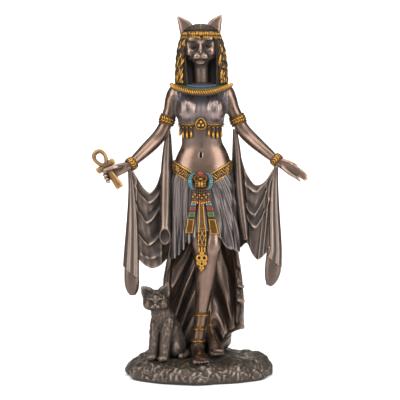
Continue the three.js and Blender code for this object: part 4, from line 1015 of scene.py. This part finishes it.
def on_ribs(turn, below=0.0, out=0.0):
    x = RIBS[0] + (RIBS[2] + out) * np.cos(turn)
    y = RIBS[1] + (RIBS[3] + out) * np.sin(turn)
    return np.stack([x, y, bust_edge(x, y) - below], -1)


turns = np.linspace(0, 2 * np.pi, 500, endpoint=False)
edging = []
for below, thick in ((0, 0.6), (1.3, 0.45)):
    edging.append((*closed_rope(on_ribs(turns, below), thick, 2.4, sides=8), 0))
for degrees in (-67, -51, -38, -26, 19, 31, 44, 60):
    turn = np.radians(degrees - 90)
    hook = on_ribs(turn, 1.6, 0.3)
    fall = 8.8 - 0.003 * (abs(degrees) - 42) ** 2
    t = np.linspace(0, 1, 24)
    line = hook - t[:, None] * (0, 0, fall)
    drop_half = 0.5 + 0.5 * bell(t - 0.72, 0.3) - 0.6 * rise(t, 0.9, 1)
    edging.append((*skin(sweep(line, drop_half, sides=10)), 0))
    edging.append((*bead(hook - (0, 0.5, 0.4), (0.6, 0.5, 0.6), 8, 7), 0))
MEDALLION = np.array((0.6, -9.6, 174.8))
edging.append((*bead(MEDALLION, (3.6, 1.4, 4), 20, 13), 1))
turn = np.linspace(0, 2 * np.pi, 40, endpoint=False)
egg_across = 3.5 * np.cos(turn) * (1 - 0.3 * np.sin(turn))
rim = MEDALLION + np.stack([egg_across, 0 * turn - 1, 3.9 * np.sin(turn)], -1)
edging.append((*skin(sweep(rim, 0.6, side=FORWARDS, sides=8, joined=True), True), 0))
for x, z in ((-0.9, 173.6), (2.1, 173.6), (0.6, 176)):
    edging.append((*bead((x, -11.2, z), (1.1, 0.9, 1.3), 12, 9), 0))
piece("bodice_edging", edging, [gold_finish, maroon_finish], reach=0.8)


# The belt on her hips, cast on: a stiff gold band, low in front, cut with nested zigzags on a dark
# ground between two twisted edges.
HOOP = (1.8, 0.6, 21.8, 12.8)  # x and y of the middle, half width and half depth
BELT_HALF = 3.9  # half the breadth of the band
BELT_THICKNESS = 1.6
ZIGZAGS = 16
turns = np.linspace(0, 2 * np.pi, 520, endpoint=False)[:, None]
across = np.linspace(-1, 1, 28)[None] * BELT_HALF
circle = np.stack([HOOP[2] * np.cos(turns), HOOP[3] * np.sin(turns), 0 * turns], -1)[:, 0]
steps = np.linalg.norm(np.diff(circle, axis=0, append=circle[:1]), axis=1)
reached = np.concatenate([[0], np.cumsum(steps)])
beat = reached[:-1, None] / reached[-1] * ZIGZAGS
zigzag = 2.5 * (4 * np.abs(beat % 1 - 0.5) - 1)
lines = bell(across - zigzag, 0.72)
for nested in (-2.5, 2.5):
    lines = lines + bell(across - zigzag - nested, 0.55) * (np.abs(across) < 2.6)
raised = np.clip(lines, 0, 1) + rise(np.abs(across), 3.4, 3.6)


def on_belt(turn, up, out):
    """Points out from the belt's hoop, up or down from its middle line."""
    x = HOOP[0] + (HOOP[2] + out) * np.cos(turn)
    y = HOOP[1] + (HOOP[3] + out) * np.sin(turn)
    return np.stack(np.broadcast_arrays(x, y, belt_level(turn) + up), -1)


faced = on_belt(turns, across * 0.94, 0.1 + 0.6 * np.clip(raised, 0, 1))
backed = on_belt(turns, across * 0.94, -BELT_THICKNESS)[:, ::-1]
ground = (raised < 0.35).astype(int)
belt_paint = np.concatenate([ground, 0 * ground], axis=1).reshape(-1)
belt = [(*skin(np.concatenate([faced, backed], axis=1), True), belt_paint)]
turns = np.linspace(0, 2 * np.pi, 360, endpoint=False)
for up in (BELT_HALF, -BELT_HALF):
    belt.append((*closed_rope(on_belt(turns, up, 0.2), 0.4, 2.2), 0))
piece("belt", belt, [gold_finish, recess_finish], reach=0.9)


# The clasp, cast on the belt: a gold scarab under a red stone, between two ringed discs and a pair of
# curved turquoise wings, with a fringe of dark and gold bead strings below it.
SCARAB = np.array((0.4, -15.4, 131))
red_finish = finish("deep red paint", (0.15, 0.016, 0.01), (0.36, 0.05, 0.032), (0.02, 0.004, 0.004),
                    1.2, 0.8, 2000.0, 0.1, 0.35, False)
turquoise_finish = finish("turquoise paint", (0.03, 0.14, 0.17), (0.15, 0.35, 0.38), (0.004, 0.02, 0.03),
                          1.2, 0.8, 2000.0, 0.1, 0.35, False)


def hoop(middle, radius, thick, sides=8, squash=1.0):
    """A ring that faces forwards."""
    turn = np.linspace(0, 2 * np.pi, 40, endpoint=False)
    path = np.stack([radius * np.cos(turn), 0 * turn, radius * squash * np.sin(turn)], -1) + middle
    return skin(sweep(path, thick, side=FORWARDS, sides=sides, joined=True), True)


clasp = [(*bead(SCARAB + (0, 1.4, 1), (4.6, 2.2, 6.4), 24, 17), 1),
         (*bead(SCARAB + (0, -0.6, 7.2), (1.9, 1.4, 2.3), 20, 13), 2),
         (*hoop(SCARAB + (0, -0.4, 7), 2.1, 0.35), 0),
         (*bead(SCARAB + (0, -1, 3.4), (1.3, 1.2, 1.2), 16, 11), 0)]
for side in (-1, 1):
    clasp.append((*bead(SCARAB + (0.95 * side, -0.8, -0.4), (1.15, 1.4, 2.7), 16, 13), 0))
    clasp.append((*hoop(SCARAB + (2.8 * side, -0.8, 3.8), 1.8, 0.42), 0))
    clasp.append((*bead(SCARAB + (2.8 * side, -0.4, 3.8), (1.5, 0.7, 1.5), 14, 9), 1))
    for leg_z in (1.4, -0.6, -2.4):
        t = np.linspace(0, 1, 12)[:, None]
        hip = SCARAB + (1.6 * side, -0.8, leg_z)
        leg = hip + t * (2.2 * side, 0, 0.2) + np.sin(np.pi * t) * (0, 0, 0.7)
        clasp.append((*skin(sweep(leg, 0.34, side=FORWARDS, sides=6)), 0))
    wing = [(4 * side, 0.2, 7.6), (6.2 * side, 0, 6.4), (7.7 * side, 0, 3.4), (7.7 * side, 0, -0.2),
            (6.2 * side, 0, -3.4), (3.8 * side, 0.2, -4.6)]
    t = np.linspace(0, 1, 60)
    path = SCARAB + along(wing, t)
    breadth = 0.4 + 1.15 * np.sin(np.pi * t) ** 0.7
    feathers = 1 - 0.16 * np.abs(np.cos(14 * np.pi * t))[:, None] + np.zeros((60, 14))
    clasp.append((*skin(sweep(path, breadth, 0.9, side=UP, sides=14, swell=feathers)), 3))
    inward = SCARAB + (0, 0, 1.4) - path
    inward /= np.linalg.norm(inward, axis=1)[:, None]
    for edge in (1, -1):
        rim = path + inward * (edge * (breadth + 0.15))[:, None] - (0, 0.3, 0)
        clasp.append((*skin(sweep(rim, 0.28, side=FORWARDS, sides=8)), 0))
# the paint of each bead down a string, which alternates from string to string
STRINGS = ((1, 1, 1, 0, 1, 0), (1, 1, 0, 1, 2, 0))
for number, x in enumerate(np.linspace(-5.2, 6.2, 8)):
    droop = 0.8 * abs(number - 3.5) ** 0.5
    for step, paint in enumerate(STRINGS[number % 2]):
        spot = (x, -15.6 - 0.24 * step, 125.6 + droop - 1.9 * step)
        clasp.append((*bead(spot, (0.72, 0.8, 0.95), 8, 7), paint))
piece("clasp", clasp, [gold_finish, recess_finish, red_finish, turquoise_finish], reach=0.8)


# The apron's three straps hang from the clasp, cast with it: a short one to each side banded in
# turquoise, red, green and gold, and a long gold one in the middle that ends in an open ornament.
green_finish = finish("green paint", (0.04, 0.07, 0.012), (0.14, 0.19, 0.05), (0.008, 0.012, 0.004),
                      1.2, 0.8, 2000.0, 0.1, 0.35, False)


def strap(table, relief, paint, thick=1.1, count=110, width=20):
    """A strap through rows of x, y, z and half width, its face raised by relief(down, across)."""
    t = np.linspace(0, 1, count)
    rows = along(table, t)
    u = np.linspace(-1, 1, width)
    raise_face = relief(t[:, None], u[None])
    face = rows[:, None, :3] + (rows[:, 3, None] * u)[..., None] * SIDEWAYS
    front = face - (thick / 2 + raise_face)[..., None] * FORWARDS
    back = (face + (0, thick / 2, 0))[:, ::-1]
    shades = np.broadcast_to(paint(t[:, None], u[None]), (count, width))
    shades = np.concatenate([shades, shades[:, ::-1]], axis=1)[:-1].reshape(-1)
    points, faces = skin(np.concatenate([front, back], axis=1))
    return points, faces, np.concatenate([shades, np.zeros(len(faces) - len(shades), int)])


SIDE_STRAPS = ([(-4.2, -15.6, 118.4, 1.9), (-5, -16.4, 114.6, 2), (-6.3, -17.4, 106.6, 2.3),
                (-8.2, -18.2, 95, 2.7)],
               [(5.6, -15.6, 118.4, 1.9), (6.8, -16.4, 114.6, 2.1), (8.4, -17.4, 106.6, 2.5),
                (10.6, -18.2, 94.4, 3.1)])
# where each band down the side straps ends, its finish and its height
BAND_ENDS = np.array([0.12, 0.2, 0.3, 0.35, 0.48, 0.53, 0.66, 0.71, 1])
BAND_PAINTS = np.array([0, 4, 3, 1, 2, 1, 4, 1, 0])
BAND_HEIGHTS = np.array([0.5, 0.3, 0.4, 0, 0.4, 0, 0.4, 0, 0.5])


def band_number(t):
    return np.minimum(np.searchsorted(BAND_ENDS, t), len(BAND_ENDS) - 1)


def banded_relief(t, u):
    block = rise(t, 0.72, 0.74)
    bars = np.abs(np.cos(6 * (t - 0.72) / 0.28 + 2.5 * u)) ** 0.5
    return BAND_HEIGHTS[band_number(t)] - 0.16 * block * (1 - bars) - 0.2 * rise(np.abs(u), 0.85, 1)


def banded_paint(t, u):
    return BAND_PAINTS[band_number(t)] + 0 * u.astype(int)


CENTRE_STRAP = [(0.8, -15.8, 118, 1.7), (1.1, -16.8, 112, 1.8), (1.4, -18, 104, 2.1), (1.6, -18.8, 98, 2.7),
                (1.5, -19.3, 91.6, 3), (1.4, -19.4, 85.4, 2.8)]


def centre_relief(t, u):
    lattice_t = (t - 0.6) / 0.4
    cross = np.maximum(bell((lattice_t * 2 + u) % 1 - 0.5, 0.15), bell((lattice_t * 2 - u) % 1 - 0.5, 0.15))
    lattice = rise(t, 0.6, 0.62) * cross
    plain = (1 - rise(t, 0.56, 0.58)) * (0.56 + 0.14 * np.cos(9 * u))
    bar = np.maximum(bell(t - 0.58, 0.014), bell(t - 0.985, 0.014))
    rims = rise(np.abs(u), 0.78, 0.9) * rise(t, 0.55, 0.6)
    return 0.6 * np.maximum(np.maximum(rims, bar), np.maximum(0.7 * lattice, 0.8 * plain))


def centre_paint(t, u):
    """Dark ground where the strap's face is low, and gold where it is raised."""
    return np.where(centre_relief(t, u) < 0.2, 1, 0)


apron = [strap(table, banded_relief, banded_paint) for table in SIDE_STRAPS]
apron.append(strap(CENTRE_STRAP, centre_relief, centre_paint, 1.3))
ORNAMENT = [(1.4, -18.9, 86, 2.4), (1.4, -18.6, 82, 2.8), (1.3, -18.2, 78, 3.8), (1.2, -17.9, 74, 4.1),
            (1, -17.4, 70.4, 3), (0.9, -17.2, 67.6, 1.2)]
apron.append(strap(ORNAMENT, lambda t, u: 0 * t * u, lambda t, u: 1 + 0 * t * u, 1))
# the ornament's open rings: x, z, radius and height as a share of the width
ORNAMENT_RINGS = ((-0.6, 76.6, 1.7, 1.1), (3.1, 76.6, 1.7, 1.1), (1.2, 72.4, 1.6, 1), (-1, 72.8, 1, 1),
                  (3.4, 72.8, 1, 1), (1.2, 69.2, 1.1, 0.9), (1.3, 80, 1, 0.9))
for x, z, radius, squash in ORNAMENT_RINGS:
    apron.append((*hoop((x, -19.2 + (78 - z) * 0.07, z), radius, 0.78, squash=squash), 0))
for x in (-0.7, 1.3, 3.3):
    apron.append((*bead((x, -19.4, 82.8), (0.75, 0.7, 2.3), 10, 9), 0))
apron.append((*bead((0.9, -17.8, 67.4), (0.9, 0.8, 1), 12, 9), 0))
piece("apron", apron, [gold_finish, recess_finish, red_finish, turquoise_finish, green_finish], reach=0.8)


# Gold armbands above the elbows and bracelets at the wrists, cast on: two thin ropes, and between them
# a pair of thicker ones laid against each other, so that they look plaited. Each row below has the
# middles of a band's two ends, and its radius.
ARM_BANDS = (((-23.6, 2.8, 180.8), (-25.4, 3.1, 174.6), 5.2), ((27, 3, 180.8), (29.4, 3.2, 174.8), 5.3),
             ((-48.8, -8.9, 146.7), (-52.2, -10.7, 144), 4.1), ((54.6, -9.2, 149.6), (58, -10.5, 146.8), 4))
# share of the band's length, thickness and pitch of each rope in it
ROPES = ((0.05, 0.85, 3.2), (0.34, 1.25, 3.6), (0.66, 1.25, -3.6), (0.95, 0.85, 3.2))


def round_arm(start, end, radius, turn, t):
    """Points at turns round the line from start to end."""
    start, end = np.array(start, float), np.array(end, float)
    line = (end - start) / np.linalg.norm(end - start)
    fore = np.cross(line, np.cross(FORWARDS, line))
    fore /= np.linalg.norm(fore)
    across = np.cross(line, fore)
    outward = np.cos(turn)[:, None] * across + np.sin(turn)[:, None] * fore
    return start + (end - start) * t + radius * outward


arm_bands = []
turns = np.linspace(0, 2 * np.pi, 110, endpoint=False)
for start, end, radius in ARM_BANDS:
    for share, thick, pitch in ROPES:
        path = round_arm(start, end, radius, turns, share)
        arm_bands.append(closed_rope(path, thick, pitch, side=np.array(end) - start))
    sleeve = [round_arm(start, end, radius - 0.2, turns, share) for share in (0.02, 0.5, 0.98)]
    arm_bands.append(skin(sleeve))
piece("arm_bands", arm_bands, [gold_finish], reach=0.9)


# Gold anklets, cast on: three thin rings up the shin of the leg in front, joined by a strap that runs
# down to the toes, and one ring and a strap at the other ankle.
anklets = []
turns = np.linspace(0, 2 * np.pi, 110, endpoint=False)
# x, y and z of each ring's middle, half width and half depth
ANKLET_RINGS = ((0.9, -6.2, 33, 5.4, 6.5), (-0.8, -5.4, 22.4, 4.8, 5.8), (-1.8, -4.6, 13, 4.9, 5.7),
                (6.4, 9.8, 23, 4.6, 5.3))
for x, y, z, wide, deep in ANKLET_RINGS:
    for lift, thick in ((0, 0.6), (1.1, 0.4)):
        path = np.stack([x + wide * np.cos(turns), y + deep * np.sin(turns), z + lift + 0 * turns], -1)
        anklets.append(closed_rope(path, thick, 2, sides=8))
STRAPS = ([(1.6, -12.8, 33.6), (0.4, -12, 28), (-0.4, -11.3, 22), (-1.2, -10.5, 13), (-0.8, -13.8, 10),
           (-0.4, -18.4, 7.9), (-0.4, -22, 6.2)],
          [(7.6, 4.2, 34), (7.6, 4.6, 23), (9, 2.8, 16.8), (10.4, -0.6, 14), (11, -4.2, 11)])
for table in STRAPS:
    path = along(table, np.linspace(0, 1, 90))
    anklets.append(skin(sweep(path, 0.8, 0.6, sides=10, plies=2, pitch=2.4)))
for middle, size in (((-1.2, -10.9, 13.4), 1.3), ((-0.4, -11.6, 22.8), 1), ((1.2, -13, 33.4), 1)):
    anklets.append(bead(middle, (size, 0.7, size), 14, 9))
piece("anklets", anklets, [gold_finish], reach=0.8)


# The looped cross in her right hand, cast in pale gold resin with bevelled edges and glued into the
# closed fingers.
CROSS_LENGTH = 33
CROSS_SPAN = 15.5
CROSS_LEAN = np.radians(34)
pale_finish = finish("pale gold resin", (0.29, 0.165, 0.065), (0.58, 0.4, 0.21), (0.05, 0.025, 0.01),
                     1.6, 1.0, 1800.0, 0.12, 0.38)
cross = Clay((-9, -3, -21), (9, 3, 16), 0.28)
cells, (x, y, z) = cross.region((-9, -3, -21), (9, 3, 16))
loop_top, waist = CROSS_LENGTH * 0.42, 1.9
share = np.clip((z + waist) / (loop_top + waist), 0.001, 0.999)
loop_half = 6.6 * np.sqrt(4 * share * (1 - share)) * np.sqrt(0.25 + 0.75 * share)
band = 3.4  # breadth of the loop's band
inner_share = np.clip((z - waist * 1.4) / (loop_top - band - waist * 1.4), 0.001, 0.999)
inner_half = 3.2 * np.sqrt(4 * inner_share * (1 - inner_share)) * np.sqrt(0.25 + 0.75 * inner_share)
in_loop = np.maximum(np.abs(x) - loop_half, np.maximum(z - loop_top, -waist - z))
in_hole = np.maximum(np.abs(x) - inner_half, np.maximum(z - loop_top + band, waist * 1.4 - z))
ring_plate = np.maximum(in_loop, -in_hole)
foot = -CROSS_LENGTH * 0.58
shaft = np.maximum(np.abs(x) - (1.9 + 1.1 * z / foot), np.maximum(z - 1, foot - z))
arms = np.maximum(np.abs(z) - (1.9 + 0.08 * np.abs(x)), np.abs(x) + 0.12 * z * z - CROSS_SPAN / 2)
plate = np.minimum(ring_plate, np.minimum(shaft, arms))
past_face = np.abs(y) - CROSS_THICKNESS / 2
bevel = np.maximum(past_face, (past_face + 0.6 * plate + 0.8) * 0.8)
ridge = np.maximum(plate, bevel)
cross.far[cells] = np.broadcast_to(ridge, cross.far.shape)
cross_points, cross_faces = cross.cast(1)
c, s = np.cos(-CROSS_LEAN), np.sin(-CROSS_LEAN)
turned = np.stack([cross_points[:, 0] * c + cross_points[:, 2] * s, cross_points[:, 1],
                   -cross_points[:, 0] * s + cross_points[:, 2] * c], -1)
piece("cross_with_loop", [(turned + CROSS_MIDDLE, cross_faces)], [pale_finish], "looped_cross",
      reach=1, keep=0.6)


# The cat at her right side sits upright, turned outwards, and looks to the front. Its short coat is
# cut all over with fine strokes, and it is cast with the rock.
fur_finish = finish("furry bronze", (0.08, 0.06, 0.049), (0.29, 0.225, 0.18), (0.014, 0.01, 0.008),
                    1.1, 0.8, 1300.0, 1.0, 0.44)
CAT_PLACE = np.array((-25.6, -7, 1.4))
CAT_TURN = np.radians(-30)


def cat_place(x, y, z):
    c, s = np.cos(CAT_TURN), np.sin(CAT_TURN)
    return CAT_PLACE + (x * c - y * s, x * s + y * c, z)


def cat_limb(rows, blend=1.5, **options):
    placed = [(*cat_place(*row[:3]), *row[3:]) for row in rows]
    coat.limb(placed, blend, (np.cos(CAT_TURN), np.sin(CAT_TURN), 0), **options)


coat = Clay((-49, -31, 0.2), (-7, 16, 63), 0.4)
cat_limb([(0, 10, 2, 9.4, 6), (0, 8, 8, 11.4, 9.4), (0, 4, 18, 10.6, 9.8), (-0.4, -1, 27, 9.2, 8.6),
          (-1, -5, 34, 7.8, 7.2), (-1.8, -6.6, 39, 6.6, 6)], 2)
for side in (-1, 1):
    coat.egg(cat_place(side * 6.6, 3, 7), (5.4, 7.4, 8), 1.6)
    cat_limb([(side * 4.8, -4.4, 27, 5), (side * 4.7, -8, 14, 4.2), (side * 4.7, -10, 0.8, 3.8)], 0.9)
    coat.egg(cat_place(side * 4.8, -11.6, 1.2), (4, 4, 2.8), 0.8)
    for toe in (-1.2, 0.2, 1.6):
        x, y, z = cat_place(side * 4.8 + toe - 0.4, -13.6, 2)
        coat.limb([(x, y, z, 0.3), (x, y - 2, z - 2.4, 0.3)], 0.5, cut=True)
cat_limb([(0, 15, 2.4, 2.6), (9, 14, 1.8, 2.4), (14, 7, 1.6, 2.2), (13.6, -1, 1.6, 1.9)], 1)
CAT_FACE = np.array((-32.6, -14, 44.6))


def on_face(x, y, z, thick):
    """A row of a limb, placed from the middle of the cat's head."""
    return (*(CAT_FACE + (x, y, z)), thick)


coat.egg(CAT_FACE, (9.4, 8, 7.4), 2)
for side in (-1, 1):
    coat.egg(CAT_FACE + (5 * side, -2, -3), (4.2, 4.6, 3.8), 2)
    coat.egg(CAT_FACE + (1.6 * side - 0.2, -8.4, -3.4), (2, 2.2, 1.7), 0.8)
    coat.egg(CAT_FACE + (3.7 * side, -8, 0.2), (2.1, 1.6, 1.5), 0.8, cut=True)
    coat.egg(CAT_FACE + (3.7 * side, -5.6, 0.2), (1.5, 1.4, 1.1), 0.3)
    coat.limb([on_face(1.6 * side, -7.6, 1.2, 0.6), on_face(3.8 * side, -7, 2.4, 0.8),
               on_face(6 * side, -5, 2.2, 0.6)], 0.8)
    tip = 54.2 if side < 0 else 57.4
    rows = [(-32.6 + 5 * side, -12.6, 48.4, 5.4, 2.6),
            (-33 + 7.4 * side, -12.6, 51.8 + 0.3 * (tip - 54), 4, 1.9),
            (-33.4 + 9.8 * side, -12.8, tip, 1, 0.7)]
    coat.limb(rows, 1.2)
    scoop = [(x, y - 2.1, z - 0.6, wide * 0.66, deep * 0.6) for x, y, z, wide, deep in rows]
    coat.limb(scoop, 0.5, cut=True)
coat.limb([on_face(0, -6.4, 3, 1.5), on_face(-0.2, -8.8, -1.4, 1.1)], 1.4)
coat.egg(CAT_FACE + (-0.2, -10, -2), (1.2, 0.8, 0.8), 0.3)
coat.limb([on_face(-0.2, -11, -3, 0.3), on_face(-0.2, -10.6, -4.6, 0.3)], 0.4, cut=True)
for side in (-1, 1):
    mouth_corner = on_face(3.2 * side - 0.2, -8.6, -5.4, 0.3)
    coat.limb([on_face(-0.2, -10.4, -4.6, 0.35), mouth_corner], 0.4, cut=True)
coat_points, coat_faces = coat.cast()
middle = np.array((-27, -8, 26))
bare = bell(np.linalg.norm(coat_points - CAT_FACE - (0, -9, -1), axis=1), 5)
strokes = lumps(coat_points * (1, 1, 0.5), 1.2, 1) + 0.5 * lumps(coat_points, 3, 2)
outward = coat_points - middle
outward /= np.linalg.norm(outward, axis=1)[:, None]
STROKE_DEPTH = 0.38
coat_points = coat_points + outward * (STROKE_DEPTH * strokes * (1 - 0.8 * bare))[:, None]
cat_eyes = [(*bead(CAT_FACE + (3.7 * side, -6.8, 0.2), (0.85, 0.5, 0.8), 14, 9), 1) for side in (-1, 1)]
piece("cat", [(coat_points, coat_faces)] + cat_eyes, [fur_finish, eye_finish], keep=0.62, reach=1.1)


# The studio: a sheet of pale paper that runs from the table up into the backdrop, wide soft lights
# round it, and the camera 900 mm in front of her, as far as the photograph's seems to have been.
def pale_sweep():
    bend = np.linspace(0, np.pi / 2, 16)
    profile = [(-0.5, 0.0)] + [(0.9 + 0.5 * np.sin(a), 0.5 - 0.5 * np.cos(a)) for a in bend] + [(1.4, 1.3)]
    points = [(x, y, z) for y, z in profile for x in (-0.55, 0.55)]
    faces = [(2 * k, 2 * k + 1, 2 * k + 3, 2 * k + 2) for k in range(len(profile) - 1)]
    mesh = bpy.data.meshes.new("pale_sweep")
    mesh.from_pydata(points, [], faces)
    mesh.shade_smooth()
    made = bpy.data.objects.new("pale_sweep", mesh)
    bpy.context.scene.collection.objects.link(made)
    paper = bpy.data.materials.new("pale paper")
    paper.use_nodes = True
    shader = paper.node_tree.nodes["Principled BSDF"]
    shader.inputs["Base Color"].default_value = (0.93, 0.93, 0.93, 1)
    shader.inputs["Roughness"].default_value = 0.8
    mesh.materials.append(paper)


pale_sweep()


def soft_light(name, place, size, power, aim=(0, 0, 0.13)):
    data = bpy.data.lights.new(name, "AREA")
    data.shape = "RECTANGLE"
    data.size, data.size_y = size
    data.energy = power
    made = bpy.data.objects.new(name, data)
    bpy.context.scene.collection.objects.link(made)
    made.location = place
    made.rotation_euler = (Vector(aim) - Vector(place)).to_track_quat("-Z", "Y").to_euler()


soft_light("left softbox", (-0.72, -0.64, 0.5), (0.6, 1), 9)
soft_light("right softbox", (0.72, -0.64, 0.45), (0.6, 1), 10)
soft_light("top softbox", (0, -0.5, 1.1), (0.9, 0.6), 7)
soft_light("front softbox", (0, -1.6, 0.6), (1.3, 0.8), 3)
soft_light("backdrop light", (0, 0.5, 1.5), (1.2, 0.4), 22, (0, 1.4, 0.3))

world = bpy.data.worlds.new("studio")
bpy.context.scene.world = world
world.use_nodes = True
world.node_tree.nodes["Background"].inputs["Color"].default_value = (1, 1, 1, 1)
world.node_tree.nodes["Background"].inputs["Strength"].default_value = 0.16
bpy.context.scene.view_settings.view_transform = "Standard"

CAMERA_PLACE = (0, -900, 190)
CAMERA_AIM = (0, 0, 133)
FOCAL_LENGTH = 108.7
camera_data = bpy.data.cameras.new("camera")
camera_data.lens = FOCAL_LENGTH
camera_data.sensor_width = 36
camera = bpy.data.objects.new("camera", camera_data)
bpy.context.scene.collection.objects.link(camera)
camera.location = Vector(CAMERA_PLACE) * MM
aim = Vector(CAMERA_AIM) * MM
camera.rotation_euler = (aim - camera.location).to_track_quat("-Z", "Y").to_euler()
bpy.context.scene.camera = camera
